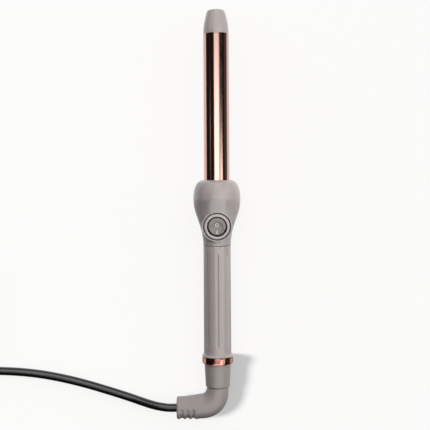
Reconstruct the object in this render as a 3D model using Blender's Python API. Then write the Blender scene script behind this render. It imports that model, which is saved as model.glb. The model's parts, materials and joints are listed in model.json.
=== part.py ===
"""Curling wand lying on a table.

A heated round barrel stands out of a bulb-shaped housing with a round rocker switch. A fluted grip
and a tail cap follow, and the cord turns freely on a right-angled elbow behind the cap.

The wand is drawn along its own axis: +Z runs from the tail to the tip, -Y is the side with the
switch, and the elbow points to -X. An empty then lays the wand down on its copper band and its
bulb, with the tip towards +Y and the switch upwards. All lengths are metres.
"""
import math

import bmesh
import bpy
import numpy as np
from mathutils import Vector

MM = 0.001

# Clearances, shared by all pieces
FIT_GAP = 0.3 * MM              # between pieces that touch
RUN_GAP = 0.1 * MM              # round what turns
CUT_OVERRUN = 2.0 * MM          # how far a cutter reaches past what it cuts
MERGE_DISTANCE = 0.001 * MM
ROUND_SIDES = 48
PLAIN_SIDES = 32
SMALL_SIDES = 20
WIRE_SIDES = 16
CORNER_STEPS = 3
SMOOTH_ANGLE_DEG = 34.0

# Cord elbow: neck, bend and ribbed arm
NECK_RADIUS = 10.8 * MM
NECK_STRAIGHT = 4.2 * MM
BEND_OUTER_RADIUS = 28.0 * MM
BEND_SQUARENESS = 2.15          # 2 would be a circle
THROAT_RADIUS = 3.2 * MM        # inner corner, measured from the bend's centre
THROAT_FLARE = 2.0 * MM         # added to it on the neck's side
ARM_RISE = 0.6 * MM             # the bend's underside stands this far above the ribs
ARM_HEIGHT = 22.8 * MM          # at the cord end
ARM_HALF_WIDTH = 10.3 * MM
ELBOW_REACH = 41.5 * MM         # from the wand's axis to the cord end
ARM_END_ROUND = 1.9 * MM
RIB_PITCH = 5.7 * MM
RIB_END_LAND = 3.55 * MM        # first rib, at the cord's end
RIB_GROOVE_WIDTH = 3.3 * MM
RIB_GROOVE_DEPTH = 1.3 * MM
RIB_GROOVE_RUNOUT = 0.4 * MM    # the grooves' floor leaves the arm this far out at its sides
RIB_GROOVES = 3
SOCKET_DEPTH = 12.0 * MM

# Swivel: hollow shaft in the elbow, bush in the tail cap, slip rings and brushes
SHAFT_RADIUS = 4.2 * MM
SHAFT_FOOT_RADIUS = 4.9 * MM
SHAFT_BORE_RADIUS = 1.8 * MM
SWIVEL_GAP = 0.4 * MM           # between the elbow and the tail cap
BUSH_WALL = 1.2 * MM
BUSH_FLANGE_WIDTH = 1.9 * MM
BUSH_FLANGE_HEIGHT = 1.4 * MM
BUSH_LIP_HEIGHT = 2.6 * MM
CLIP_THICKNESS = 0.8 * MM
CLIP_WIDTH = 2.6 * MM
CLIP_GROOVE_DEPTH = 0.8 * MM
SLIP_RING_WALL = 1.1 * MM
SLIP_RING_HEIGHT = 4.0 * MM
SLIP_RING_SPACING = 3.0 * MM
SLIP_RING_LIFT = 4.6 * MM       # first ring above the clip
HOLDER_WALL = 1.2 * MM
HOLDER_MARGIN = 2.0 * MM
BRUSH_THICKNESS = 0.4 * MM
BRUSH_WIDTH = 3.0 * MM
BRUSH_TAB = 3.0 * MM

# Tail cap, copper band and fluted grip
CAP_LENGTH = 23.8 * MM
CAP_BOTTOM_RADIUS = 12.1 * MM
CAP_TOP_RADIUS = 13.3 * MM
CAP_EDGE_ROUND = 1.0 * MM
CAP_FLOOR = 3.6 * MM
SPIGOT_LENGTH = 17.0 * MM
SPIGOT_WALL = 1.6 * MM
BAND_RADIUS = 15.45 * MM
BAND_HEIGHT = 6.7 * MM
BAND_WALL = 1.0 * MM
BAND_EDGE_ROUND = 0.5 * MM
GRIP_LENGTH = 111.0 * MM
GRIP_RADIUS = 13.75 * MM
GRIP_WALL = 2.2 * MM
FLANGE_RADIUS = 15.55 * MM
FLANGE_LAND = 0.5 * MM
FLANGE_SLOPE = 2.4 * MM
FLUTE_COUNT = 8
FLUTE_RADIUS = 2.9 * MM
FLUTE_DEPTH = 0.7 * MM
FLUTE_BOTTOM_MARGIN = 8.6 * MM
FLUTE_TOP_MARGIN = 8.5 * MM

# Bulb housing: outline as shares of its height and of its swell over the grip
BULB_HEIGHT = 65.0 * MM
BULB_RADIUS = 23.5 * MM
BULB_WALL = 2.2 * MM
BULB_SPIGOT_LENGTH = 10.0 * MM
BULB_OUTLINE_SHARES = (
    (0.0, 0.0), (0.08, 0.02), (0.14, 0.075), (0.20, 0.135), (0.26, 0.24), (0.325, 0.37),
    (0.39, 0.52), (0.455, 0.665), (0.53, 0.83), (0.58, 0.91), (0.635, 0.97), (0.70, 1.0),
    (0.76, 0.99), (0.815, 0.955), (0.865, 0.88), (0.905, 0.785), (0.94, 0.665), (0.97, 0.50),
    (1.0, 0.14),
)
CAVITY_RADIUS = 17.6 * MM
CAVITY_NECK_SHARE = 0.20        # of the bulb's height, where the cavity starts to widen
CAVITY_WAIST_SHARE = 0.43
CAVITY_SHOULDER_SHARE = 0.57
CAVITY_WAIST_RADIUS_SHARE = 0.855
SHELL_ROUND_SIDES = 48

# Barrel, its collar and its two screws
BARREL_RADIUS = 12.7 * MM
BARREL_WALL = 1.2 * MM
BARREL_EXPOSED = 144.1 * MM
BARREL_EDGE_ROUND = 0.3 * MM
COLLAR_LEDGE = 2.0 * MM
COLLAR_LEDGE_BORE = 8.0 * MM
COLLAR_FLANGE_WIDTH = 3.9 * MM
COLLAR_FLANGE_HEIGHT = 4.0 * MM
COLLAR_WALL = 2.5 * MM
COLLAR_HEIGHT = 13.0 * MM
COLLAR_DROP = 17.9 * MM         # collar's foot below the bulb's mouth
SCREW_RADIUS = 1.2 * MM
SCREW_HEAD_RADIUS = 2.2 * MM
SCREW_HEAD_HEIGHT = 1.2 * MM
SCREW_LIFT = 8.0 * MM           # above the collar's foot
SCREW_COUNT = 2

# Heater inside the barrel
HEATER_WIDTH = 12.0 * MM
HEATER_THICKNESS = 2.6 * MM
HEATER_TAIL = 7.0 * MM          # bare end of the heater below the blocks
BLOCK_LIFT = 16.0 * MM          # blocks' lower end above the bulb's mouth
BLOCK_TIP_GAP = 5.4 * MM        # between the blocks and the tip's spigot
BLOCK_SPRING_SPACE = 1.9 * MM
SPRING_THICKNESS = 0.3 * MM
SPRING_WIDTH = 8.0 * MM
SPRING_WAVES = 7
SPRING_END_MARGIN = 5.0 * MM
FUSE_RADIUS = 2.2 * MM
FUSE_LENGTH = 10.0 * MM
FUSE_DROP = 4.5 * MM            # fuse's foot below the bulb's mouth

# Cool tip, its outline as shares of its length and of its foot radius
TIP_LENGTH = 23.1 * MM
TIP_RADIUS = 12.55 * MM
TIP_OUTLINE_SHARES = (
    (0.0, 1.0), (0.22, 0.985), (0.39, 0.948), (0.56, 0.886), (0.73, 0.812),
    (0.88, 0.736), (0.95, 0.68), (0.985, 0.61), (1.0, 0.53),
)
TIP_SPIGOT_LENGTH = 8.0 * MM
TIP_WALL = 2.6 * MM
TIP_HOLLOW_SHARE = 0.6          # of the tip's length

# Switch: boss on the housing, bezel, cup, rocker, contact arm and terminals
SWITCH_HEIGHT_SHARE = 0.300     # of the bulb's height, where the switch's centre sits
SWITCH_STAND = 17.85 * MM       # lip's top in front of the wand's axis
SWITCH_LEAN_DEG = 6.1
LIP_RADIUS = 15.0 * MM
LIP_WIDTH = 1.0 * MM
LIP_ROUND = 0.4 * MM
BOSS_DEPTH = 10.0 * MM
BOSS_FOOT_RADIUS = 11.6 * MM    # the boss narrows into the neck
RECESS_DEPTH = 1.3 * MM
LIP_GROOVE_DEPTH = 2.3 * MM     # groove between the lip and the bezel
LIP_GROOVE_WIDTH = 0.85 * MM
REST_SINK = 0.8 * MM            # thumb rest below the lip's top, round the switch
REST_RIDGE_SHARE = 0.70         # of the bulb's height, where the rest ends in a ridge
REST_SLOPE_DEG = 23.6           # of the rest below the ridge
BEZEL_OUTER_RADIUS = 12.5 * MM
BEZEL_INNER_RADIUS = 9.75 * MM
BEZEL_RISE = 0.5 * MM
BEZEL_ROUND = 1.0 * MM
CUP_RADIUS = 10.5 * MM
CUP_WALL = 1.2 * MM
CUP_DEPTH = 10.2 * MM
BUTTON_RADIUS = 8.5 * MM
BUTTON_RISE = 0.7 * MM
BUTTON_DISH = 0.5 * MM
BUTTON_THICKNESS = 3.6 * MM
BUTTON_EDGE_ROUND = 0.5 * MM
BUTTON_TILT_DEG = 6.0           # either side of level
PIVOT_DEPTH = 3.6 * MM
PIN_RADIUS = 0.8 * MM
HUB_HALF_WIDTH = 6.5 * MM
HUB_HALF_LENGTH = 4.2 * MM
HUB_WALL = 1.3 * MM
NUB_REACH = 2.9 * MM
NUB_RADIUS = 0.8 * MM
CONTACT_DEPTH = 7.5 * MM
CONTACT_HALF_LENGTH = 4.8 * MM
CONTACT_WIDTH = 3.0 * MM
CONTACT_THICKNESS = 0.4 * MM
CONTACT_LIFT = 0.25 * MM
CONTACT_PAD = 0.2 * MM
CONTACT_TILT_DEG = 6.0
TERMINAL_THICKNESS = 0.8 * MM
TERMINAL_LENGTH = 6.0 * MM      # below the cup's floor
TERMINAL_OFFSET = 4.2 * MM

# Leads inside the handle
LEAD_RADIUS = 0.9 * MM

# Free cord, in metres from the point where it leaves the elbow, in the table's own directions
CORD_RADIUS = 4.25 * MM
CORD_ROUTE = (
    (-0.0003, 0.0, 0.0), (-0.0085, 0.0, 0.0), (-0.0180, 0.0012, -0.0009), (-0.0270, 0.0030, -0.0030),
    (-0.0360, 0.0054, -0.0056), (-0.0460, 0.0084, -0.0078), (-0.0570, 0.0119, -0.0087),
    (-0.0700, 0.0160, -0.0088), (-0.0850, 0.0206, -0.0088), (-0.1020, 0.0253, -0.0088),
    (-0.1200, 0.0295, -0.0088), (-0.1380, 0.0328, -0.0088), (-0.1560, 0.0350, -0.0088),
    (-0.1740, 0.0362, -0.0088), (-0.1920, 0.0366, -0.0088), (-0.2130, 0.0366, -0.0088),
    (-0.2340, 0.0366, -0.0088), (-0.2550, 0.0366, -0.0088),
)
CORD_SPACING = 18.0 * MM

# Coil of the put-away cord: two layers, spiralling in and out again
COIL_MEAN_RADIUS = 51.0 * MM
COIL_TURNS = 6.25
COIL_SIDE_GAP = 0.65 * MM
COIL_LAYER_GAP = 0.6 * MM
COIL_POINTS = 24
COIL_START_DEG = -90.0
CORD_FACE_GAP = 0.3 * MM
TIE_ANGLE_DEG = 55.0
TIE_WIDTH = 12.0 * MM
TIE_THICKNESS = 1.0 * MM
TIE_SIDE_GAP = 1.0 * MM
TIE_CORNER = 3.5 * MM
TIE_LIFT_FLAT_DEG = 14.0
TIE_LIFT_END_DEG = 52.0

# Tail of the cord, from the coil's end to the plug, in metres from the coil's end
TAIL_ROUTE = (
    (0.0, 0.0003, 0.0), (0.0, 0.0090, 0.0), (0.0012, 0.0200, -0.0016), (0.0052, 0.0330, -0.0054),
    (0.0125, 0.0460, -0.0086), (0.0225, 0.0570, -0.0088), (0.0345, 0.0655, -0.0081),
    (0.0475, 0.0708, -0.0066), (0.0600, 0.0730, -0.0054), (0.0730, 0.0734, -0.0054),
)

# Plug: moulded body with a tapered tail, and two flat blades
PLUG_LENGTH = 44.0 * MM
PLUG_WIDTH = 25.0 * MM
PLUG_HEIGHT = 15.4 * MM
PLUG_SECTION_SHARES = (
    (0.0, 0.42, 0.66, 2.0), (0.17, 0.43, 0.68, 2.0), (0.33, 0.50, 0.74, 2.2), (0.45, 0.70, 0.88, 2.8),
    (0.55, 0.90, 0.97, 3.6), (0.66, 1.0, 1.0, 4.2), (0.95, 1.0, 1.0, 4.2), (0.985, 0.975, 0.96, 4.0),
    (1.0, 0.92, 0.88, 3.6),
)
BLADE_LENGTH = 17.0 * MM
BLADE_WIDTH = 6.35 * MM
BLADE_THICKNESS = 1.5 * MM
BLADE_SPACING = 12.7 * MM
BLADE_HOLE_RADIUS = 1.6 * MM
BLADE_HOLE_INSET = 4.5 * MM

# Heights along the wand, from the underside of the ribbed arm to the tip
BEND_HEIGHT = BEND_OUTER_RADIUS + ARM_RISE
ELBOW_HEIGHT = BEND_HEIGHT + NECK_STRAIGHT
CORD_EXIT_HEIGHT = ARM_HEIGHT / 2
CAP_FOOT = ELBOW_HEIGHT + SWIVEL_GAP
CAP_SHOULDER = CAP_FOOT + CAP_LENGTH
BAND_FOOT = CAP_SHOULDER + FIT_GAP
BAND_TOP = BAND_FOOT + BAND_HEIGHT
GRIP_FLANGE_FOOT = BAND_TOP + FIT_GAP
GRIP_TOP = GRIP_FLANGE_FOOT + GRIP_LENGTH
BULB_FOOT = GRIP_TOP + FIT_GAP
BULB_TOP = BULB_FOOT + BULB_HEIGHT
BARREL_TOP = BULB_TOP + BARREL_EXPOSED
TIP_FOOT = BARREL_TOP + FIT_GAP
TIP_TOP = TIP_FOOT + TIP_LENGTH
COLLAR_FOOT = BULB_TOP - COLLAR_DROP
BARREL_FOOT = COLLAR_FOOT + COLLAR_LEDGE + FIT_GAP
SWITCH_HEIGHT = BULB_FOOT + SWITCH_HEIGHT_SHARE * BULB_HEIGHT
REST_RIDGE = BULB_FOOT + REST_RIDGE_SHARE * BULB_HEIGHT

# Radii that follow from their neighbours
GRIP_BORE = GRIP_RADIUS - GRIP_WALL
SPIGOT_RADIUS = GRIP_BORE - FIT_GAP
SPIGOT_BORE = SPIGOT_RADIUS - SPIGOT_WALL
BAND_SEAT_RADIUS = BAND_RADIUS - BAND_WALL - FIT_GAP
BUSH_BORE = SHAFT_RADIUS + RUN_GAP
BUSH_RADIUS = BUSH_BORE + BUSH_WALL
COLLAR_BORE = BARREL_RADIUS + FIT_GAP
COLLAR_RADIUS = COLLAR_BORE + COLLAR_WALL
BARREL_BORE = BARREL_RADIUS - BARREL_WALL
SLIP_RING_BORE = SHAFT_RADIUS + FIT_GAP
SLIP_RING_RADIUS = SLIP_RING_BORE + SLIP_RING_WALL
HOLDER_RADIUS = SPIGOT_BORE - FIT_GAP
HOLDER_BORE = HOLDER_RADIUS - HOLDER_WALL
BUTTON_TOP = PIVOT_DEPTH + BUTTON_RISE
CUP_BORE = CUP_RADIUS - CUP_WALL
CORD_DIAMETER = 2 * CORD_RADIUS


def material(name, colour, roughness, metallic=0.0):
    """Principled BSDF with one colour, given as linear red, green and blue."""
    look = bpy.data.materials.new(name)
    look.use_nodes = True
    shader = look.node_tree.nodes["Principled BSDF"]
    shader.inputs["Base Color"].default_value = (*colour, 1.0)
    shader.inputs["Roughness"].default_value = roughness
    shader.inputs["Metallic"].default_value = metallic
    look.diffuse_color = (*colour, 1.0)
    return look


def empty(name, parent=None, location=(0, 0, 0), rotation=(0, 0, 0)):
    """Empty that carries pieces."""
    holder = bpy.data.objects.new(name, None)
    bpy.context.collection.objects.link(holder)
    holder.parent = parent
    holder.location = location
    holder.rotation_euler = rotation
    return holder


def add_mesh(name, bm, look, parent):
    """Object from a bmesh, with outward faces and smooth round sides."""
    bmesh.ops.remove_doubles(bm, verts=bm.verts, dist=MERGE_DISTANCE)
    bmesh.ops.recalc_face_normals(bm, faces=bm.faces)
    mesh = bpy.data.meshes.new(name)
    bm.to_mesh(mesh)
    bm.free()
    mesh.shade_smooth()
    mesh.set_sharp_from_angle(angle=math.radians(SMOOTH_ANGLE_DEG))
    piece = bpy.data.objects.new(name, mesh)
    bpy.context.collection.objects.link(piece)
    piece.parent = parent
    if look is not None:
        mesh.materials.append(look)
    return piece


def as_cutter(piece):
    """Mark a piece as a cutter, which is not part of the wand."""
    piece.hide_render = True
    piece.display_type = "WIRE"
    return piece


def combine(piece, tool, operation):
    """Boolean modifier that cuts, joins or intersects a piece with a cutter."""
    step = piece.modifiers.new(f"{operation.lower()} {tool.name}", "BOOLEAN")
    step.operation = operation
    step.solver = "EXACT"
    step.object = tool


def arc(centre, radius, start_deg, end_deg, steps=CORNER_STEPS):
    """Points along an arc, both ends included."""
    angles = np.radians(np.linspace(start_deg, end_deg, steps + 1))
    return [(centre[0] + radius * math.cos(a), centre[1] + radius * math.sin(a)) for a in angles]


def turned(name, outline, look, parent, sides=ROUND_SIDES):
    """Spin an outline of (radius, height) points about Z, with a flat facing each axis."""
    bm = bmesh.new()
    turn = math.pi / sides
    points = [bm.verts.new((r * math.cos(turn), r * math.sin(turn), z)) for r, z in outline]
    edges = [bm.edges.new(pair) for pair in zip(points, points[1:])]
    if outline[0][0] > 0:
        edges.append(bm.edges.new((points[-1], points[0])))
    bmesh.ops.spin(bm, geom=points + edges, cent=(0, 0, 0), axis=(0, 0, 1), angle=2 * math.pi,
                   steps=sides, use_merge=True)
    return add_mesh(name, bm, look, parent)


def prism(name, outline, low, high, look, parent, axis="Z"):
    """Extrude a flat outline between two heights along an axis."""
    order = {"Z": lambda a, b, h: (a, b, h), "X": lambda a, b, h: (h, a, b),
             "Y": lambda a, b, h: (b, h, a)}[axis]
    bm = bmesh.new()
    face = bm.faces.new([bm.verts.new(order(a, b, low)) for a, b in outline])
    grown = bmesh.ops.extrude_face_region(bm, geom=[face])
    top = [item for item in grown["geom"] if isinstance(item, bmesh.types.BMVert)]
    bmesh.ops.translate(bm, verts=top, vec=Vector(order(0, 0, high - low)))
    return add_mesh(name, bm, look, parent)


def lofted(name, rings, look, parent):
    """Skin a stack of rings of equal point count, and close both ends."""
    bm = bmesh.new()
    loops = [[bm.verts.new(point) for point in ring] for ring in rings]
    for lower, upper in zip(loops, loops[1:]):
        for k in range(len(lower)):
            after = (k + 1) % len(lower)
            bm.faces.new((lower[k], lower[after], upper[after], upper[k]))
    bm.faces.new(loops[0])
    bm.faces.new(loops[-1])
    return add_mesh(name, bm, look, parent)


def tube(name, points, radius, look, parent, resolution=2):
    """Round tube along a poly spline, with filled ends."""
    curve = bpy.data.curves.new(name, "CURVE")
    curve.dimensions = "3D"
    curve.bevel_depth = radius
    curve.bevel_resolution = resolution
    curve.use_fill_caps = True
    spline = curve.splines.new("POLY")
    spline.points.add(len(points) - 1)
    for knot, point in zip(spline.points, points):
        knot.co = (*point, 1.0)
    curve.materials.append(look)
    piece = bpy.data.objects.new(name, curve)
    bpy.context.collection.objects.link(piece)
    piece.parent = parent
    return piece


def smooth_route(route, spacing):
    """Evenly spaced points on the Catmull-Rom curve through a route's points."""
    knots = np.array(route)
    ends = np.vstack((2 * knots[0] - knots[1], knots, 2 * knots[-1] - knots[-2]))
    dense = []
    for k in range(1, len(ends) - 2):
        before, start, end, after = ends[k - 1:k + 3]
        for t in np.linspace(0, 1, COIL_POINTS, endpoint=False):
            dense.append(0.5 * (2 * start + (end - before) * t
                                + (2 * before - 5 * start + 4 * end - after) * t ** 2
                                + (3 * start - before - 3 * end + after) * t ** 3))
    dense = np.array(dense + [knots[-1]])
    along = np.concatenate(([0], np.cumsum(np.linalg.norm(np.diff(dense, axis=0), axis=1))))
    # The first and last stretch stay straight for one diameter, square to what they meet
    marks = np.linspace(CORD_DIAMETER, along[-1] - CORD_DIAMETER, 1 + round(along[-1] / spacing))
    marks = np.concatenate(([0], marks, [along[-1]]))
    return np.column_stack([np.interp(marks, along, dense[:, axis]) for axis in range(3)])


def elbow_rings():
    """Sections of the elbow: each spans the outer and the inner side line of the bend."""
    centre = (NECK_RADIUS - BEND_OUTER_RADIUS, BEND_HEIGHT)
    spans = [((NECK_RADIUS, ELBOW_HEIGHT), (-NECK_RADIUS, ELBOW_HEIGHT), NECK_RADIUS)]
    bend_steps = 8
    for k in range(bend_steps + 1):
        share = k / bend_steps
        angle = math.radians(-90 * share)
        outer = BEND_OUTER_RADIUS * (abs(math.cos(angle)) ** BEND_SQUARENESS
                                     + abs(math.sin(angle)) ** BEND_SQUARENESS) ** (-1 / BEND_SQUARENESS)
        inner = THROAT_RADIUS + THROAT_FLARE * (1 - share) ** 2
        width = NECK_RADIUS + (ARM_HALF_WIDTH - NECK_RADIUS) * share
        outer_point = (centre[0] + outer * math.cos(angle), centre[1] + outer * math.sin(angle))
        inner_point = (centre[0] + inner * math.cos(angle), centre[1] + inner * math.sin(angle))
        spans.append((outer_point, inner_point, width))
    swell = BEND_HEIGHT - THROAT_RADIUS - ARM_HEIGHT
    arm_end = -ELBOW_REACH
    arm_shares = (0.2, 0.43, 0.67, 0.88)
    for share in arm_shares:
        x = centre[0] + (arm_end - centre[0]) * share
        low = ARM_RISE * max(0, 1 - share / arm_shares[0])
        spans.append(((x, low), (x, ARM_HEIGHT + swell * (1 - share) ** 2), ARM_HALF_WIDTH))
    for angle_deg in (0, 30, 60, 90):
        inset = ARM_END_ROUND * (1 - math.cos(math.radians(angle_deg)))
        x = arm_end + ARM_END_ROUND * (1 - math.sin(math.radians(angle_deg)))
        spans.append(((x, inset), (x, ARM_HEIGHT - inset), ARM_HALF_WIDTH - inset))
    rings = []
    for outer, inner, half_width in spans:
        middle = ((outer[0] + inner[0]) / 2, (outer[1] + inner[1]) / 2)
        reach = ((outer[0] - inner[0]) / 2, (outer[1] - inner[1]) / 2)
        ring = []
        for k in range(PLAIN_SIDES):
            angle = 2 * math.pi * (k + 0.5) / PLAIN_SIDES
            ring.append((middle[0] + reach[0] * math.cos(angle), half_width * math.sin(angle),
                         middle[1] + reach[1] * math.cos(angle)))
        rings.append(ring)
    return rings


def make_elbow(parent, look):
    """Moulded strain relief with a socket for the shaft and grooves between its flex ribs."""
    elbow = lofted("cord_elbow", elbow_rings(), look, parent)
    socket_floor = ELBOW_HEIGHT - SOCKET_DEPTH
    socket = turned("socket_cutter", [
        (0, socket_floor), (SHAFT_FOOT_RADIUS + FIT_GAP, socket_floor),
        (SHAFT_FOOT_RADIUS + FIT_GAP, ELBOW_HEIGHT + CUT_OVERRUN), (0, ELBOW_HEIGHT + CUT_OVERRUN),
    ], None, parent, SMALL_SIDES)
    combine(elbow, as_cutter(socket), "DIFFERENCE")
    # A groove is cut outside a circle that sits higher than the arm, so it fades at mid height
    hole_radius = ARM_HALF_WIDTH + RIB_GROOVE_RUNOUT
    plate_radius = hole_radius + 2 * CUT_OVERRUN
    for k in range(RIB_GROOVES):
        x = -ELBOW_REACH + RIB_END_LAND + RIB_GROOVE_WIDTH + RIB_PITCH * k
        cutter = turned(f"groove_cutter_{k + 1}", [
            (hole_radius, 0), (plate_radius, 0),
            (plate_radius, RIB_GROOVE_WIDTH), (hole_radius, RIB_GROOVE_WIDTH),
        ], None, parent, PLAIN_SIDES)
        cutter.location = (x, 0, RIB_GROOVE_DEPTH + hole_radius)
        cutter.rotation_euler = (0, -math.pi / 2, 0)
        combine(elbow, as_cutter(cutter), "DIFFERENCE")
    return elbow


def make_swivel(root, wand, looks):
    """Shaft, clip and slip rings on the cord's side; bush, holder and brushes on the wand's."""
    clip_foot = CAP_FOOT + CAP_FLOOR + FIT_GAP + BUSH_FLANGE_HEIGHT + BUSH_LIP_HEIGHT + FIT_GAP
    clip_groove = SHAFT_RADIUS - CLIP_GROOVE_DEPTH
    groove_top = clip_foot + CLIP_THICKNESS + FIT_GAP
    first_ring = clip_foot + CLIP_THICKNESS + SLIP_RING_LIFT
    second_ring = first_ring + SLIP_RING_HEIGHT + SLIP_RING_SPACING
    shaft_top = second_ring + SLIP_RING_HEIGHT + SLIP_RING_SPACING
    socket_floor = ELBOW_HEIGHT - SOCKET_DEPTH + FIT_GAP
    turned("swivel_shaft", [
        (SHAFT_BORE_RADIUS, socket_floor), (SHAFT_FOOT_RADIUS, socket_floor),
        (SHAFT_FOOT_RADIUS, ELBOW_HEIGHT), (SHAFT_RADIUS, ELBOW_HEIGHT),
        (SHAFT_RADIUS, clip_foot - FIT_GAP), (clip_groove, clip_foot - FIT_GAP),
        (clip_groove, groove_top), (SHAFT_RADIUS, groove_top),
        (SHAFT_RADIUS, shaft_top), (SHAFT_BORE_RADIUS, shaft_top),
    ], looks["nylon"], root, SMALL_SIDES)
    turned("shaft_clip", [
        (clip_groove + FIT_GAP, clip_foot), (clip_groove + FIT_GAP + CLIP_WIDTH, clip_foot),
        (clip_groove + FIT_GAP + CLIP_WIDTH, clip_foot + CLIP_THICKNESS),
        (clip_groove + FIT_GAP, clip_foot + CLIP_THICKNESS),
    ], looks["steel"], root, SMALL_SIDES)
    for name, foot in (("slip_ring_line", first_ring), ("slip_ring_neutral", second_ring)):
        turned(name, [
            (SLIP_RING_BORE, foot), (SLIP_RING_RADIUS, foot),
            (SLIP_RING_RADIUS, foot + SLIP_RING_HEIGHT), (SLIP_RING_BORE, foot + SLIP_RING_HEIGHT),
        ], looks["brass"], root, SMALL_SIDES)

    bush_foot = CAP_FOOT
    flange_foot = CAP_FOOT + CAP_FLOOR + FIT_GAP
    flange_radius = BUSH_RADIUS + BUSH_FLANGE_WIDTH
    flange_top = flange_foot + BUSH_FLANGE_HEIGHT
    turned("swivel_bush", [
        (BUSH_BORE, bush_foot), (BUSH_RADIUS, bush_foot), (BUSH_RADIUS, flange_foot),
        (flange_radius, flange_foot), (flange_radius, flange_top), (BUSH_RADIUS, flange_top),
        (BUSH_RADIUS, flange_top + BUSH_LIP_HEIGHT), (BUSH_BORE, flange_top + BUSH_LIP_HEIGHT),
    ], looks["nylon"], wand, SMALL_SIDES)
    holder_foot = first_ring - HOLDER_MARGIN
    holder_top = second_ring + SLIP_RING_HEIGHT + HOLDER_MARGIN
    turned("brush_holder", [
        (HOLDER_BORE, holder_foot), (HOLDER_RADIUS, holder_foot),
        (HOLDER_RADIUS, holder_top), (HOLDER_BORE, holder_top),
    ], looks["nylon"], wand, SMALL_SIDES)
    # Each brush is a bent leaf whose nose rides on its ring, with a tab for its lead
    nose = SLIP_RING_RADIUS + FIT_GAP
    back = HOLDER_BORE - FIT_GAP - BRUSH_THICKNESS
    half_span = math.sqrt((HOLDER_BORE - FIT_GAP) ** 2 - (back + BRUSH_THICKNESS / 2) ** 2)
    leaf = [(nose, 0), (back, half_span), (back + BRUSH_THICKNESS / 2, half_span),
            (nose + BRUSH_THICKNESS, BRUSH_THICKNESS / 4), (nose + BRUSH_THICKNESS, -BRUSH_THICKNESS / 4),
            (back + BRUSH_THICKNESS / 2, -half_span), (back, -half_span)]
    tab = [(nose, -BRUSH_THICKNESS), (back, -BRUSH_THICKNESS), (back, BRUSH_THICKNESS),
           (nose, BRUSH_THICKNESS)]
    tab_ends = {}
    for name, foot, turn in (("brush_line", first_ring, 0), ("brush_neutral", second_ring, math.pi)):
        low = foot + (SLIP_RING_HEIGHT - BRUSH_WIDTH) / 2
        top = holder_top + BRUSH_TAB
        brush = prism(name, leaf, low, low + BRUSH_WIDTH, looks["brass"], wand)
        brush.rotation_euler = (0, 0, turn)
        tab_tool = prism(f"{name}_tab", tab, low + BRUSH_WIDTH / 2, top, None, wand)
        tab_tool.rotation_euler = (0, 0, turn)
        combine(brush, as_cutter(tab_tool), "UNION")
        tab_ends[name] = ((nose + back) / 2 * math.cos(turn), 0, top + FIT_GAP)
    return tab_ends


def make_tail_cap(parent, look):
    """Tapered cap with a floor for the bush and a spigot that fills the band and the grip."""
    hole = BUSH_RADIUS + FIT_GAP
    corner = (CAP_BOTTOM_RADIUS - CAP_EDGE_ROUND, CAP_FOOT + CAP_EDGE_ROUND)
    spigot_top = CAP_SHOULDER + SPIGOT_LENGTH
    outline = [(hole, CAP_FOOT)] + arc(corner, CAP_EDGE_ROUND, -90, 0, 2) + [
        (CAP_TOP_RADIUS, CAP_SHOULDER - BAND_EDGE_ROUND),
        (CAP_TOP_RADIUS - BAND_EDGE_ROUND, CAP_SHOULDER),
        (SPIGOT_RADIUS, CAP_SHOULDER), (SPIGOT_RADIUS, spigot_top), (SPIGOT_BORE, spigot_top),
        (SPIGOT_BORE, CAP_FOOT + CAP_FLOOR), (hole, CAP_FOOT + CAP_FLOOR),
    ]
    return turned("tail_cap", outline, look, parent)


def make_band(parent, look):
    """Formed metal ring: a wall round the grip's seat and a lip clamped above the tail cap."""
    low_corner = (BAND_RADIUS - BAND_EDGE_ROUND, BAND_FOOT + BAND_EDGE_ROUND)
    high_corner = (BAND_RADIUS - BAND_EDGE_ROUND, BAND_TOP - BAND_EDGE_ROUND)
    outline = [(GRIP_BORE, BAND_FOOT)] + arc(low_corner, BAND_EDGE_ROUND, -90, 0, 2)
    outline += arc(high_corner, BAND_EDGE_ROUND, 0, 90, 2) + [
        (BAND_RADIUS - BAND_WALL, BAND_TOP), (BAND_RADIUS - BAND_WALL, BAND_FOOT + BAND_WALL),
        (GRIP_BORE, BAND_FOOT + BAND_WALL),
    ]
    return turned("trim_band", outline, look, parent)


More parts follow.
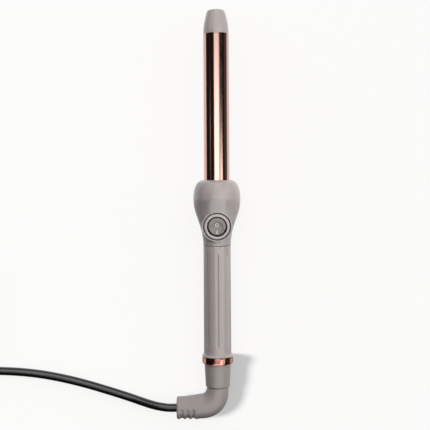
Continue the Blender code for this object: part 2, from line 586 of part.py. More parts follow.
def make_grip(parent, look):
    """Tube with a flared foot over the band and eight long flutes with round ends."""
    seat_foot = BAND_FOOT + BAND_WALL + FIT_GAP
    slope_foot = GRIP_FLANGE_FOOT + FLANGE_LAND
    outline = [
        (GRIP_BORE, seat_foot), (BAND_SEAT_RADIUS, seat_foot), (BAND_SEAT_RADIUS, GRIP_FLANGE_FOOT),
        (FLANGE_RADIUS - BAND_EDGE_ROUND / 2, GRIP_FLANGE_FOOT),
        (FLANGE_RADIUS, GRIP_FLANGE_FOOT + BAND_EDGE_ROUND / 2), (FLANGE_RADIUS, slope_foot),
    ]
    for along_share, out_share in ((0.3, 0.62), (0.6, 0.30), (0.85, 0.10), (1.2, 0.0)):
        outline.append((GRIP_RADIUS + (FLANGE_RADIUS - GRIP_RADIUS) * out_share,
                        slope_foot + FLANGE_SLOPE * along_share))
    outline += [(GRIP_RADIUS, GRIP_TOP - BAND_EDGE_ROUND), (GRIP_RADIUS - BAND_EDGE_ROUND, GRIP_TOP),
                (GRIP_BORE, GRIP_TOP)]
    grip = turned("grip_tube", outline, look, parent)

    low = GRIP_FLANGE_FOOT + FLUTE_BOTTOM_MARGIN + FLUTE_RADIUS
    high = GRIP_TOP - FLUTE_TOP_MARGIN - FLUTE_RADIUS
    capsule = arc((0, low), FLUTE_RADIUS, -90, 0) + arc((0, high), FLUTE_RADIUS, 0, 90)
    out = GRIP_RADIUS - FLUTE_DEPTH + FLUTE_RADIUS
    for k in range(FLUTE_COUNT):
        # The end points of an arc that starts on the axis are set to it exactly
        shape = [(0, capsule[0][1])] + capsule[1:-1] + [(0, capsule[-1][1])]
        cutter = turned(f"flute_cutter_{k + 1}", shape, None, parent, WIRE_SIDES)
        angle = 2 * math.pi * k / FLUTE_COUNT - math.pi / 2
        cutter.location = (out * math.cos(angle), out * math.sin(angle), 0)
        combine(grip, as_cutter(cutter), "DIFFERENCE")
    return grip


def bulb_outline():
    """Outer outline of the bulb, from its foot to its mouth."""
    swell = BULB_RADIUS - GRIP_RADIUS
    return [(GRIP_RADIUS + swell * out_share, BULB_FOOT + BULB_HEIGHT * along_share)
            for along_share, out_share in BULB_OUTLINE_SHARES]


def shell_outline():
    """Closed outline of the housing: spigot, bulb, mouth, cavity and the groove for the collar."""
    groove_foot = COLLAR_FOOT - FIT_GAP
    groove_top = COLLAR_FOOT + COLLAR_FLANGE_HEIGHT + FIT_GAP
    groove_radius = COLLAR_RADIUS + COLLAR_FLANGE_WIDTH + FIT_GAP
    spigot_foot = BULB_FOOT - BULB_SPIGOT_LENGTH
    collar_top = COLLAR_FOOT + COLLAR_HEIGHT + FIT_GAP
    return [(SPIGOT_BORE, spigot_foot), (SPIGOT_RADIUS, spigot_foot), (SPIGOT_RADIUS, BULB_FOOT)] \
        + bulb_outline() + [
            (COLLAR_BORE, BULB_TOP), (COLLAR_BORE, BULB_TOP - BULB_WALL),
            (CAVITY_RADIUS, collar_top), (CAVITY_RADIUS, groove_top), (groove_radius, groove_top),
            (groove_radius, groove_foot), (CAVITY_RADIUS, groove_foot),
            (CAVITY_RADIUS, BULB_FOOT + CAVITY_SHOULDER_SHARE * BULB_HEIGHT),
            (CAVITY_RADIUS * CAVITY_WAIST_RADIUS_SHARE, BULB_FOOT + CAVITY_WAIST_SHARE * BULB_HEIGHT),
            (GRIP_BORE, BULB_FOOT + CAVITY_NECK_SHARE * BULB_HEIGHT),
            (GRIP_BORE, BULB_FOOT + SPIGOT_WALL), (SPIGOT_BORE, BULB_FOOT),
        ]


def half_cutter(name, side, parent):
    """Block that covers one half of the housing and the gap at the parting line."""
    reach = 2 * BULB_RADIUS
    near = -side * FIT_GAP / 2
    far = side * reach
    low, high = min(near, far), max(near, far)
    outline = [(-reach, low), (reach, low), (reach, high), (-reach, high)]
    block = prism(name, outline, BULB_FOOT - BULB_SPIGOT_LENGTH - CUT_OVERRUN,
                  BULB_TOP + CUT_OVERRUN, None, parent)
    return as_cutter(block)


def bulb_radius(height):
    """Outer radius of the bulb at a height along the wand."""
    heights = [along for _, along in bulb_outline()]
    radii = [radius for radius, _ in bulb_outline()]
    return float(np.interp(height, heights, radii))


def rest_depth(height):
    """Depth of the front face: beside the switch as deep as its seat, above it a slope to the ridge."""
    seat = SWITCH_STAND - REST_SINK + math.tan(math.radians(SWITCH_LEAN_DEG)) * (height - SWITCH_HEIGHT)
    slope = bulb_radius(REST_RIDGE) - math.tan(math.radians(REST_SLOPE_DEG)) * (REST_RIDGE - height)
    return min(bulb_radius(height), max(seat, slope))


def press_face(front):
    """Make the front shell's outer sections half ellipses, as deep as the thumb rest."""
    for corner in front.data.vertices:
        x, y, height = corner.co
        radius = math.hypot(x, y)
        if BULB_FOOT < height < BULB_TOP and radius > bulb_radius(height) - BULB_WALL / 2 and y < 0:
            corner.co.y = y * rest_depth(height) / bulb_radius(height)


def make_housing(parent, switch, look):
    """Two shells that meet on the side plane; the front one carries the switch."""
    outline = shell_outline()
    front = turned("bulb_front", outline, look, parent, SHELL_ROUND_SIDES)
    press_face(front)
    rear = turned("bulb_rear", outline, look, parent, SHELL_ROUND_SIDES)
    combine(front, half_cutter("rear_half_cutter", 1, parent), "DIFFERENCE")
    combine(rear, half_cutter("front_half_cutter", -1, parent), "DIFFERENCE")
    lip_crown = LIP_RADIUS - LIP_ROUND
    boss = turned("switch_boss", [(0, -BOSS_DEPTH), (BOSS_FOOT_RADIUS, -BOSS_DEPTH)]
                  + arc((lip_crown, -LIP_ROUND), LIP_ROUND, 0, 90) + [(0, 0)], None, switch,
                  PLAIN_SIDES)
    combine(front, as_cutter(boss), "UNION")
    lip_bore = LIP_RADIUS - LIP_WIDTH
    groove_bore = lip_bore - LIP_GROOVE_WIDTH
    well_bore = CUP_RADIUS + FIT_GAP
    well_floor = -CUP_DEPTH - CUT_OVERRUN
    well = turned("well_cutter", [
        (0, well_floor), (well_bore, well_floor), (well_bore, -RECESS_DEPTH),
        (groove_bore, -RECESS_DEPTH), (groove_bore, -LIP_GROOVE_DEPTH),
        (lip_bore - LIP_ROUND, -LIP_GROOVE_DEPTH), (lip_bore, 0), (lip_bore, CUT_OVERRUN),
        (0, CUT_OVERRUN),
    ], None, switch, PLAIN_SIDES)
    combine(front, as_cutter(well), "DIFFERENCE")
    return front, rear


def make_switch(switch, looks):
    """Bezel, cup, pin, rocker, contact arm and terminals, in the switch's own directions."""
    bezel_foot = -RECESS_DEPTH + FIT_GAP
    crown = BEZEL_RISE - BEZEL_ROUND
    turned("switch_bezel", [(BEZEL_INNER_RADIUS, bezel_foot), (BEZEL_OUTER_RADIUS, bezel_foot)]
           + arc((BEZEL_OUTER_RADIUS - BEZEL_ROUND, crown), BEZEL_ROUND, 0, 90)
           + arc((BEZEL_INNER_RADIUS + BEZEL_ROUND / 2, BEZEL_RISE - BEZEL_ROUND / 2),
                 BEZEL_ROUND / 2, 90, 180), looks["housing"], switch, PLAIN_SIDES)

    cup_top = -RECESS_DEPTH
    cup_floor = -CUP_DEPTH
    cup = turned("switch_cup", [
        (0, cup_floor), (CUP_RADIUS, cup_floor), (CUP_RADIUS, cup_top), (CUP_BORE, cup_top),
        (CUP_BORE, cup_floor + CUP_WALL), (0, cup_floor + CUP_WALL),
    ], looks["black"], switch, SMALL_SIDES)
    pin_half = CUP_RADIUS
    pin = turned("rocker_pin", [(0, -pin_half), (PIN_RADIUS, -pin_half), (PIN_RADIUS, pin_half),
                                (0, pin_half)], looks["steel"], switch, WIRE_SIDES)
    pin.location = (0, 0, -PIVOT_DEPTH)
    pin.rotation_euler = (0, math.pi / 2, 0)
    hole = turned("pin_hole_cutter", [
        (0, -pin_half - CUT_OVERRUN), (PIN_RADIUS + RUN_GAP, -pin_half - CUT_OVERRUN),
        (PIN_RADIUS + RUN_GAP, pin_half + CUT_OVERRUN), (0, pin_half + CUT_OVERRUN),
    ], None, switch, WIRE_SIDES)
    hole.location = pin.location
    hole.rotation_euler = pin.rotation_euler
    combine(cup, as_cutter(hole), "DIFFERENCE")

    rocker_pivot = empty("rocker_pivot", switch, (0, 0, -PIVOT_DEPTH),
                         (-math.radians(BUTTON_TILT_DEG), 0, 0))
    disc_foot = BUTTON_TOP - BUTTON_THICKNESS
    rim = BUTTON_RADIUS - BUTTON_EDGE_ROUND
    dish = [(rim * share, BUTTON_TOP - BUTTON_DISH * (1 - share ** 2)) for share in (0, 0.4, 0.7, 0.9)]
    button = turned("rocker_button", dish + arc((rim, BUTTON_TOP - BUTTON_EDGE_ROUND),
                                                BUTTON_EDGE_ROUND, 90, 0)
                    + [(BUTTON_RADIUS, disc_foot), (0, disc_foot)], looks["housing"], rocker_pivot,
                    PLAIN_SIDES)
    hub_radius = PIN_RADIUS + HUB_WALL
    hub_outline = [(-HUB_HALF_LENGTH, disc_foot + HUB_WALL), (-HUB_HALF_LENGTH, disc_foot)] \
        + arc((0, 0), hub_radius, 180, 240) \
        + arc((0, NUB_RADIUS - NUB_REACH), NUB_RADIUS, 200, 340) \
        + arc((0, 0), hub_radius, 300, 360) \
        + [(HUB_HALF_LENGTH, disc_foot), (HUB_HALF_LENGTH, disc_foot + HUB_WALL)]
    hub = prism("rocker_hub", hub_outline, -HUB_HALF_WIDTH, HUB_HALF_WIDTH, None, rocker_pivot, axis="X")
    combine(button, as_cutter(hub), "UNION")
    combine(button, hole, "DIFFERENCE")

    contact_pivot = empty("contact_pivot", switch, (0, 0, -CONTACT_DEPTH),
                          (math.radians(CONTACT_TILT_DEG), 0, 0))
    top = CONTACT_LIFT + CONTACT_THICKNESS
    pad_foot = CONTACT_LIFT - CONTACT_PAD
    pad_inner = CONTACT_HALF_LENGTH - CONTACT_WIDTH / 2
    arm_outline = [
        (-CONTACT_HALF_LENGTH, top), (-CONTACT_HALF_LENGTH, pad_foot), (-pad_inner, pad_foot),
        (-pad_inner, CONTACT_LIFT), (pad_inner, CONTACT_LIFT), (pad_inner, pad_foot),
        (CONTACT_HALF_LENGTH, pad_foot), (CONTACT_HALF_LENGTH, top),
    ]
    prism("contact_arm", arm_outline, -CONTACT_WIDTH / 2, CONTACT_WIDTH / 2, looks["brass"],
          contact_pivot, axis="X")

    # The switched terminal stops below the arm's pad when that pad is down
    sweep = math.sin(math.radians(CONTACT_TILT_DEG)) * CONTACT_HALF_LENGTH
    tops = {"terminal_feed": (0, CONTACT_LIFT - FIT_GAP),
            "terminal_switched": (TERMINAL_OFFSET, pad_foot - sweep - FIT_GAP)}
    foot = cup_floor - TERMINAL_LENGTH
    for name, (offset, rise) in tops.items():
        half = TERMINAL_THICKNESS / 2
        outline = [(offset - half, foot), (offset + half, foot),
                   (offset + half, rise - CONTACT_DEPTH), (offset - half, rise - CONTACT_DEPTH)]
        prism(name, outline, -CONTACT_WIDTH / 2, CONTACT_WIDTH / 2, looks["brass"], switch, axis="X")
        slot_half = half + FIT_GAP
        slot = [(offset - slot_half, cup_floor - CUT_OVERRUN), (offset + slot_half, cup_floor - CUT_OVERRUN),
                (offset + slot_half, cup_floor + CUP_WALL + CUT_OVERRUN / 4),
                (offset - slot_half, cup_floor + CUP_WALL + CUT_OVERRUN / 4)]
        slot_width = CONTACT_WIDTH / 2 + FIT_GAP
        cutter = prism(f"{name}_slot_cutter", slot, -slot_width, slot_width, None, switch, axis="X")
        combine(cup, as_cutter(cutter), "DIFFERENCE")


def make_barrel(parent, looks):
    """Plated tube on the collar's ledge, held by two screws through tube and collar."""
    top_corner = (BARREL_RADIUS - BARREL_EDGE_ROUND, BARREL_TOP - BARREL_EDGE_ROUND)
    barrel = turned("barrel_tube", [(BARREL_BORE, BARREL_FOOT), (BARREL_RADIUS, BARREL_FOOT)]
                    + arc(top_corner, BARREL_EDGE_ROUND, 0, 90) + [(BARREL_BORE, BARREL_TOP)],
                    looks["rose gold"], parent)
    flange_radius = COLLAR_RADIUS + COLLAR_FLANGE_WIDTH
    flange_top = COLLAR_FOOT + COLLAR_FLANGE_HEIGHT
    collar_top = COLLAR_FOOT + COLLAR_HEIGHT
    ledge_top = COLLAR_FOOT + COLLAR_LEDGE
    collar = turned("barrel_collar", [
        (COLLAR_LEDGE_BORE, COLLAR_FOOT), (flange_radius, COLLAR_FOOT), (flange_radius, flange_top),
        (COLLAR_RADIUS, flange_top), (COLLAR_RADIUS, collar_top), (COLLAR_BORE, collar_top),
        (COLLAR_BORE, ledge_top), (COLLAR_LEDGE_BORE, ledge_top),
    ], looks["phenolic"], parent, PLAIN_SIDES)
    tip = BARREL_BORE - FIT_GAP
    seat = COLLAR_RADIUS + FIT_GAP
    head_top = seat + SCREW_HEAD_HEIGHT
    for k in range(SCREW_COUNT):
        turn = 2 * math.pi * k / SCREW_COUNT
        at = (0, 0, COLLAR_FOOT + SCREW_LIFT)
        screw = turned(f"collar_screw_{k + 1}", [
            (0, tip), (SCREW_RADIUS, tip), (SCREW_RADIUS, seat), (SCREW_HEAD_RADIUS, seat),
            (SCREW_HEAD_RADIUS, head_top), (0, head_top),
        ], looks["steel"], parent, WIRE_SIDES)
        hole_radius = SCREW_RADIUS + FIT_GAP
        cutter = turned(f"screw_cutter_{k + 1}", [
            (0, tip - CUT_OVERRUN), (hole_radius, tip - CUT_OVERRUN), (hole_radius, head_top),
            (0, head_top),
        ], None, parent, WIRE_SIDES)
        for item in (screw, cutter):
            item.location = at
            item.rotation_euler = (0, math.pi / 2, turn)
        combine(barrel, as_cutter(cutter), "DIFFERENCE")
        combine(collar, cutter, "DIFFERENCE")


def make_heater(parent, looks):
    """Flat heater between two half-round blocks, pressed out against the tube by a wave spring."""
    block_foot = BULB_TOP + BLOCK_LIFT
    block_top = TIP_FOOT - TIP_SPIGOT_LENGTH - BLOCK_TIP_GAP
    radius = BARREL_BORE - FIT_GAP
    half = HEATER_THICKNESS / 2
    front_flat = half + FIT_GAP
    rear_flat = half + FIT_GAP + BLOCK_SPRING_SPACE
    for name, flat, side in (("heat_block_front", front_flat, -1), ("heat_block_rear", rear_flat, 1)):
        start = math.degrees(math.asin(flat / radius))
        outline = [(x, side * y) for x, y in arc((0, 0), radius, start, 180 - start, ROUND_SIDES // 3)]
        prism(name, outline, block_foot, block_top, looks["aluminium"], parent)
    bar = [(-HEATER_WIDTH / 2, -half), (HEATER_WIDTH / 2, -half), (HEATER_WIDTH / 2, half),
           (-HEATER_WIDTH / 2, half)]
    prism("ptc_heater", bar, block_foot - HEATER_TAIL, block_top, looks["ceramic"], parent)
    low = block_foot + SPRING_END_MARGIN
    length = block_top - block_foot - 2 * SPRING_END_MARGIN
    swing = (BLOCK_SPRING_SPACE - FIT_GAP - SPRING_THICKNESS) / 2
    middle = half + FIT_GAP + swing + SPRING_THICKNESS / 2
    stations = np.linspace(0, 1, 4 * SPRING_WAVES + 1)
    wave = [(middle + swing * math.sin(2 * math.pi * SPRING_WAVES * s), low + length * s) for s in stations]
    outline = [(y - SPRING_THICKNESS / 2, z) for y, z in wave] \
        + [(y + SPRING_THICKNESS / 2, z) for y, z in reversed(wave)]
    prism("heater_spring", outline, -SPRING_WIDTH / 2, SPRING_WIDTH / 2, looks["steel"], parent, axis="X")

    fuse_foot = BULB_TOP - FUSE_DROP
    fuse_out = BARREL_BORE - FIT_GAP - FUSE_RADIUS
    fuse = turned("thermal_fuse", [(0, fuse_foot), (FUSE_RADIUS, fuse_foot),
                                   (FUSE_RADIUS, fuse_foot + FUSE_LENGTH), (0, fuse_foot + FUSE_LENGTH)],
                  looks["steel"], parent, WIRE_SIDES)
    fuse.location = (0, -fuse_out, 0)
    return fuse_foot, fuse_out, block_foot


def make_tip(parent, look):
    """Moulded cap with a spigot inside the tube and a hollow that opens into it."""
    spigot = BARREL_BORE - FIT_GAP
    hollow = spigot - TIP_WALL
    hollow_top = TIP_FOOT + TIP_HOLLOW_SHARE * TIP_LENGTH
    outer = [(TIP_RADIUS * out_share, TIP_FOOT + TIP_LENGTH * along_share)
             for along_share, out_share in TIP_OUTLINE_SHARES]
    spigot_foot = TIP_FOOT - TIP_SPIGOT_LENGTH
    outline = [(0, hollow_top), (hollow / 2, hollow_top), (hollow, spigot_foot), (spigot, spigot_foot),
               (spigot, TIP_FOOT)] + outer + [(0, TIP_TOP)]
    return turned("cool_tip", outline, look, parent)


def make_leads(parent, look, tab_ends, switch_at, fuse_place):
    """Insulated leads from the brushes to the switch, the fuse and the heater."""
    fuse_foot, fuse_out, block_foot = fuse_place
    lean = math.radians(SWITCH_LEAN_DEG)
    depth = CUP_DEPTH + TERMINAL_LENGTH + FIT_GAP

    def behind(offset, extra):
        """Point behind a terminal's inner end, `extra` further from the switch."""
        back = depth + extra
        return (0, switch_at[1] + back * math.cos(lean) - offset * math.sin(lean),
                switch_at[2] + back * math.sin(lean) + offset * math.cos(lean))

    line = tab_ends["brush_line"]
    neutral = tab_ends["brush_neutral"]
    side = line[0]
    feed_end = behind(0, 0)
    tube("lead_feed", [
        line, (side, 0, line[2] + side), (side, 0, (line[2] + BULB_FOOT) / 2), (side, 0, BULB_FOOT - side),
        (0.8 * side, 0.45 * side, BULB_FOOT + 0.4 * side),
        (0.45 * side, 0.75 * side, feed_end[2] - 0.7 * side), (0.12 * side, 0.75 * side, feed_end[2] - 0.2 * side),
        behind(0, 0.45 * side), feed_end,
    ], LEAD_RADIUS, look, parent)
    start = behind(TERMINAL_OFFSET, 0)
    tube("lead_switched", [
        start, behind(TERMINAL_OFFSET, 0.35 * side), (0, start[1] + 0.55 * side, start[2] + 0.9 * side),
        (0, start[1] + 0.1 * side, start[2] + 1.9 * side),
        (0, -0.6 * COLLAR_LEDGE_BORE, COLLAR_FOOT - 0.4 * side),
        (0, -0.7 * COLLAR_LEDGE_BORE, COLLAR_FOOT + COLLAR_LEDGE + 0.4 * side),
        (0, -fuse_out, fuse_foot - 0.6 * side), (0, -fuse_out, fuse_foot - FIT_GAP),
    ], LEAD_RADIUS, look, parent)
    fuse_top = fuse_foot + FUSE_LENGTH + FIT_GAP
    face = HEATER_THICKNESS / 2 + FIT_GAP
    joint_height = block_foot - HEATER_TAIL / 2
    tube("lead_heater", [
        (0, -fuse_out, fuse_top), (0, -fuse_out, fuse_top + 0.35 * (joint_height - fuse_top)),
        (0, -0.8 * fuse_out, fuse_top + 0.8 * (joint_height - fuse_top)),
        (0, -0.5 * fuse_out, joint_height), (0, -face, joint_height),
    ], LEAD_RADIUS, look, parent)
    tube("lead_neutral", [
        neutral, (-side, 0, neutral[2] + side), (-side, 0, (neutral[2] + BULB_FOOT) / 2),
        (-side, 0, BULB_FOOT - side), (-0.85 * side, 0.8 * side, BULB_FOOT + 1.5 * side),
        (-0.5 * side, 1.1 * side, COLLAR_FOOT - 2.5 * side), (-0.2 * side, 0.75 * COLLAR_LEDGE_BORE, COLLAR_FOOT),
        (0, 0.8 * COLLAR_LEDGE_BORE, COLLAR_FOOT + COLLAR_LEDGE + side),
        (0, 0.8 * COLLAR_LEDGE_BORE, joint_height - 0.5 * side), (0, 0.5 * COLLAR_LEDGE_BORE, joint_height),
        (0, face, joint_height),
    ], LEAD_RADIUS, look, parent)


def coil_points(centre, per_turn):
    """Loops of the coil: inwards on the table, then outwards on top of that layer.

    The radius falls and rises at one steady rate, and the height climbs one layer in the half turn
    round the reversal. Near the tie both layers are lifted by its thickness.
    """
    pitch = CORD_DIAMETER + COIL_SIDE_GAP
    rise = CORD_DIAMETER + COIL_LAYER_GAP
    outer = COIL_MEAN_RADIUS + pitch * COIL_TURNS / 4
    count = round(COIL_TURNS * per_turn)
    turns = np.linspace(0, COIL_TURNS, count + 1)
    from_middle = turns - COIL_TURNS / 2
    radius = outer - pitch * (COIL_TURNS / 2 - np.abs(from_middle))
    climb = np.clip(from_middle * 2 + 0.5, 0, 1)
    climb = climb ** 2 * (3 - 2 * climb)
    angle = math.radians(COIL_START_DEG) - 2 * np.pi * turns
    away = np.abs((np.degrees(angle) - TIE_ANGLE_DEG + 180) % 360 - 180)
    lift = np.clip((TIE_LIFT_END_DEG - away) / (TIE_LIFT_END_DEG - TIE_LIFT_FLAT_DEG), 0, 1)
    lift = lift ** 2 * (3 - 2 * lift) * (TIE_THICKNESS + FIT_GAP)
    height = centre[2] + rise * climb + lift
    return np.column_stack((centre[0] + radius * np.cos(angle), centre[1] + radius * np.sin(angle), height))


def least_gap(points):
    """Smallest distance between stretches of the coil that are not neighbours, less a diameter."""
    along = np.concatenate(([0], np.cumsum(np.linalg.norm(np.diff(points, axis=0), axis=1))))
    best = math.inf
    for k, point in enumerate(points):
        far = np.abs(along - along[k]) > 4 * CORD_DIAMETER
        best = min(best, np.linalg.norm(points[far] - point, axis=1).min())
    return best - CORD_DIAMETER


def make_cord(exit_point, looks):
    """Lead from the elbow, coil, tie, tail and plug, all lying on the table."""
    lead_end = exit_point + Vector(CORD_ROUTE[-1])
    lead = smooth_route([exit_point + Vector(step) for step in CORD_ROUTE], CORD_SPACING)
    tube("cord_lead", lead, CORD_RADIUS, looks["cord"], None)

    pitch = CORD_DIAMETER + COIL_SIDE_GAP
    outer = COIL_MEAN_RADIUS + pitch * COIL_TURNS / 4
    centre = (lead_end.x - CORD_FACE_GAP - CORD_DIAMETER, lead_end.y + outer, lead_end.z)
    loops = coil_points(centre, COIL_POINTS)
    start = loops[0] + np.array((CORD_DIAMETER, 0, 0))
    end = loops[-1] + np.array((0, CORD_DIAMETER, 0))
    loops = np.vstack((start, loops, end))
    tube("cord_coil", loops, CORD_RADIUS, looks["cord"], None, resolution=1)
    coil_length = np.linalg.norm(np.diff(loops, axis=0), axis=1).sum()
    print(f"coil: least gap {least_gap(coil_points(centre, 8 * COIL_POINTS)) / MM:.2f} mm")

    angle = math.radians(TIE_ANGLE_DEG)
    inner = COIL_MEAN_RADIUS - pitch * COIL_TURNS / 4 - CORD_RADIUS - TIE_SIDE_GAP
    outer_side = outer + CORD_RADIUS + TIE_SIDE_GAP
    top = TIE_THICKNESS + FIT_GAP + 2 * CORD_DIAMETER + COIL_LAYER_GAP + 2 * FIT_GAP

    def rounded(low_out, high_out, low_up, high_up, corner):
        """Rectangle with round corners, as (outward, up) points."""
        return arc((high_out - corner, low_up + corner), corner, -90, 0) \
            + arc((high_out - corner, high_up - corner), corner, 0, 90) \
            + arc((low_out + corner, high_up - corner), corner, 90, 180) \
            + arc((low_out + corner, low_up + corner), corner, 180, 270)

    wall = TIE_THICKNESS
    tie = prism("cord_tie", [(b, a) for a, b in rounded(inner - wall, outer_side + wall, 0, top + wall,
                                                         TIE_CORNER + wall)],
                -TIE_WIDTH / 2, TIE_WIDTH / 2, looks["tie"], None, axis="Y")
    bore = prism("tie_cutter", [(b, a) for a, b in rounded(inner, outer_side, wall, top, TIE_CORNER)],
                 -TIE_WIDTH, TIE_WIDTH, None, None, axis="Y")
    for item in (tie, bore):
        item.location = (centre[0], centre[1], 0)
        item.rotation_euler = (0, 0, angle)
    combine(tie, as_cutter(bore), "DIFFERENCE")

    coil_end = Vector(loops[-1])
    tail_end = coil_end + Vector(TAIL_ROUTE[-1])
    tail = smooth_route([coil_end + Vector(step) for step in TAIL_ROUTE], CORD_SPACING)
    tube("cord_tail", tail, CORD_RADIUS, looks["cord"], None)
    lengths = [np.linalg.norm(np.diff(path, axis=0), axis=1).sum() for path in (lead, tail)]
    print(f"cord: {(sum(lengths) + coil_length) / MM:.0f} mm from the elbow to the plug")
    make_plug(tail_end + Vector((CORD_FACE_GAP, 0, 0)), looks)


def make_plug(foot, looks):
    """Two-blade plug that lies on its wide side, blades along +X."""
    rings = []
    for along_share, width_share, height_share, squareness in PLUG_SECTION_SHARES:
        ring = []
        for k in range(SMALL_SIDES):
            angle = 2 * math.pi * (k + 0.5) / SMALL_SIDES
            across, up = math.cos(angle), math.sin(angle)
            power = 2 / squareness
            ring.append((foot.x + PLUG_LENGTH * along_share,
                         foot.y + PLUG_WIDTH / 2 * width_share * math.copysign(abs(across) ** power, across),
                         foot.z + PLUG_HEIGHT / 2 * height_share * math.copysign(abs(up) ** power, up)))
        rings.append(ring)
    lofted("plug_body", rings, looks["cord"], None)
    face = foot.x + PLUG_LENGTH + FIT_GAP
    half = BLADE_WIDTH / 2
    tip_cut = BLADE_WIDTH / 4
    outline = [(-half, 0), (half, 0), (half, BLADE_LENGTH - tip_cut), (half - tip_cut, BLADE_LENGTH),
               (-half + tip_cut, BLADE_LENGTH), (-half, BLADE_LENGTH - tip_cut)]
    for k, side in enumerate((-1, 1)):
        blade = prism(f"plug_blade_{k + 1}", outline, -BLADE_THICKNESS / 2, BLADE_THICKNESS / 2,
                      looks["brass"], None, axis="Y")
        hole = turned(f"blade_hole_cutter_{k + 1}", [
            (0, -BLADE_THICKNESS), (BLADE_HOLE_RADIUS, -BLADE_THICKNESS),
            (BLADE_HOLE_RADIUS, BLADE_THICKNESS), (0, BLADE_THICKNESS),
        ], None, None, WIRE_SIDES)
        blade.location = (face, foot.y + side * BLADE_SPACING / 2, foot.z)
        hole.location = blade.location + Vector((BLADE_LENGTH - BLADE_HOLE_INSET, 0, 0))
        hole.rotation_euler = (math.pi / 2, 0, 0)
        combine(blade, as_cutter(hole), "DIFFERENCE")


def support_tilt():
    """Angle of the line that the band's or flange's edge and the bulb rest on, and its base point."""
    tail = [(BAND_RADIUS, BAND_FOOT + BAND_EDGE_ROUND), (BAND_RADIUS, BAND_TOP - BAND_EDGE_ROUND),
            (FLANGE_RADIUS, GRIP_FLANGE_FOOT + BAND_EDGE_ROUND / 2),
            (FLANGE_RADIUS, GRIP_FLANGE_FOOT + FLANGE_LAND)]
    shell_flat = math.cos(math.pi / SHELL_ROUND_SIDES)
    tail_flat = math.cos(math.pi / ROUND_SIDES)
    tail = [(radius * tail_flat, height) for radius, height in tail]
    bulb = [(radius * shell_flat, height) for radius, height in bulb_outline()]
    best = None
    for tail_radius, tail_height in tail:
        slope = max((radius - tail_radius) / (height - tail_height) for radius, height in bulb)
        line = max(radius - tail_radius - slope * (height - tail_height) for radius, height in tail)
        if best is None or line < best[0]:
            best = (line, slope, tail_radius, tail_height)
    return math.atan(best[1]), best[2], best[3]


def lay_down(stand, pieces):
    """Tilt the wand onto its two rests and put the middle of its base at the origin."""
    tilt, rest_radius, rest_height = support_tilt()
    stand.rotation_euler = (tilt - math.pi / 2, 0, 0)
    lift = rest_radius * math.cos(tilt) - rest_height * math.sin(tilt)
    stand.location = (0, 0, lift)
    bpy.context.view_layer.update()
    graph = bpy.context.evaluated_depsgraph_get()
    corners = []
    for piece in pieces:
        shape = piece.evaluated_get(graph)
        corners += [piece.matrix_world @ vertex.co for vertex in shape.to_mesh().vertices]
        shape.to_mesh_clear()
    spread = np.array(corners)
    middle = (spread.min(axis=0) + spread.max(axis=0)) / 2
    stand.location = (-middle[0], -middle[1], lift)
    bpy.context.view_layer.update()


for old in list(bpy.data.objects):
    bpy.data.objects.remove(old, do_unlink=True)

materials = {
    "housing": material("taupe_soft_touch", (0.33, 0.29, 0.275), 0.5),
    "rose gold": material("rose_gold_plating", (0.86, 0.56, 0.47), 0.12, 1.0),
    "black": material("black_nylon", (0.02, 0.02, 0.022), 0.5),
    "nylon": material("natural_nylon", (0.62, 0.6, 0.55), 0.5),
    "phenolic": material("brown_phenolic", (0.09, 0.05, 0.03), 0.6),
    "steel": material("zinc_plated_steel", (0.6, 0.6, 0.6), 0.35, 1.0),
    "aluminium": material("extruded_aluminium", (0.7, 0.7, 0.71), 0.4, 1.0),
    "brass": material("rolled_brass", (0.72, 0.53, 0.22), 0.3, 1.0),
    "ceramic": material("ceramic_and_film", (0.5, 0.3, 0.12), 0.5),
    "lead": material("glass_sleeved_wire", (0.75, 0.73, 0.68), 0.8),
    "cord": material("black_cord_jacket", (0.012, 0.012, 0.013), 0.45),
    "tie": material("black_hook_and_loop", (0.01, 0.01, 0.011), 0.9),
}

wand_stand = empty("wand_lying")
switch_centre = (0, -SWITCH_STAND, SWITCH_HEIGHT)
switch_seat = empty("switch_seat", wand_stand, switch_centre,
                    (math.radians(90 + SWITCH_LEAN_DEG), 0, 0))
cord_elbow = make_elbow(wand_stand, materials["housing"])
brush_tabs = make_swivel(wand_stand, wand_stand, materials)
make_tail_cap(wand_stand, materials["housing"])
make_band(wand_stand, materials["rose gold"])
make_grip(wand_stand, materials["housing"])
front_shell, rear_shell = make_housing(wand_stand, switch_seat, materials["housing"])
make_switch(switch_seat, materials)
make_barrel(wand_stand, materials)
fuse_seat = make_heater(wand_stand, materials)
cool_tip = make_tip(wand_stand, materials["housing"])
make_leads(wand_stand, materials["lead"], brush_tabs, switch_centre, fuse_seat)
lay_down(wand_stand, (cord_elbow, front_shell, rear_shell, cool_tip))
cord_exit = wand_stand.matrix_world @ Vector((-ELBOW_REACH, 0, CORD_EXIT_HEIGHT))
make_cord(cord_exit, materials)
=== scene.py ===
"""Curling wand lying on a table, switch upwards, tip away from the viewer.

The heated barrel stands out of a bulb-shaped housing with a round rocker switch. A fluted grip, a
rose-gold band and a tail cap follow, and the cord turns freely on its elbow behind the cap.
"""
import math

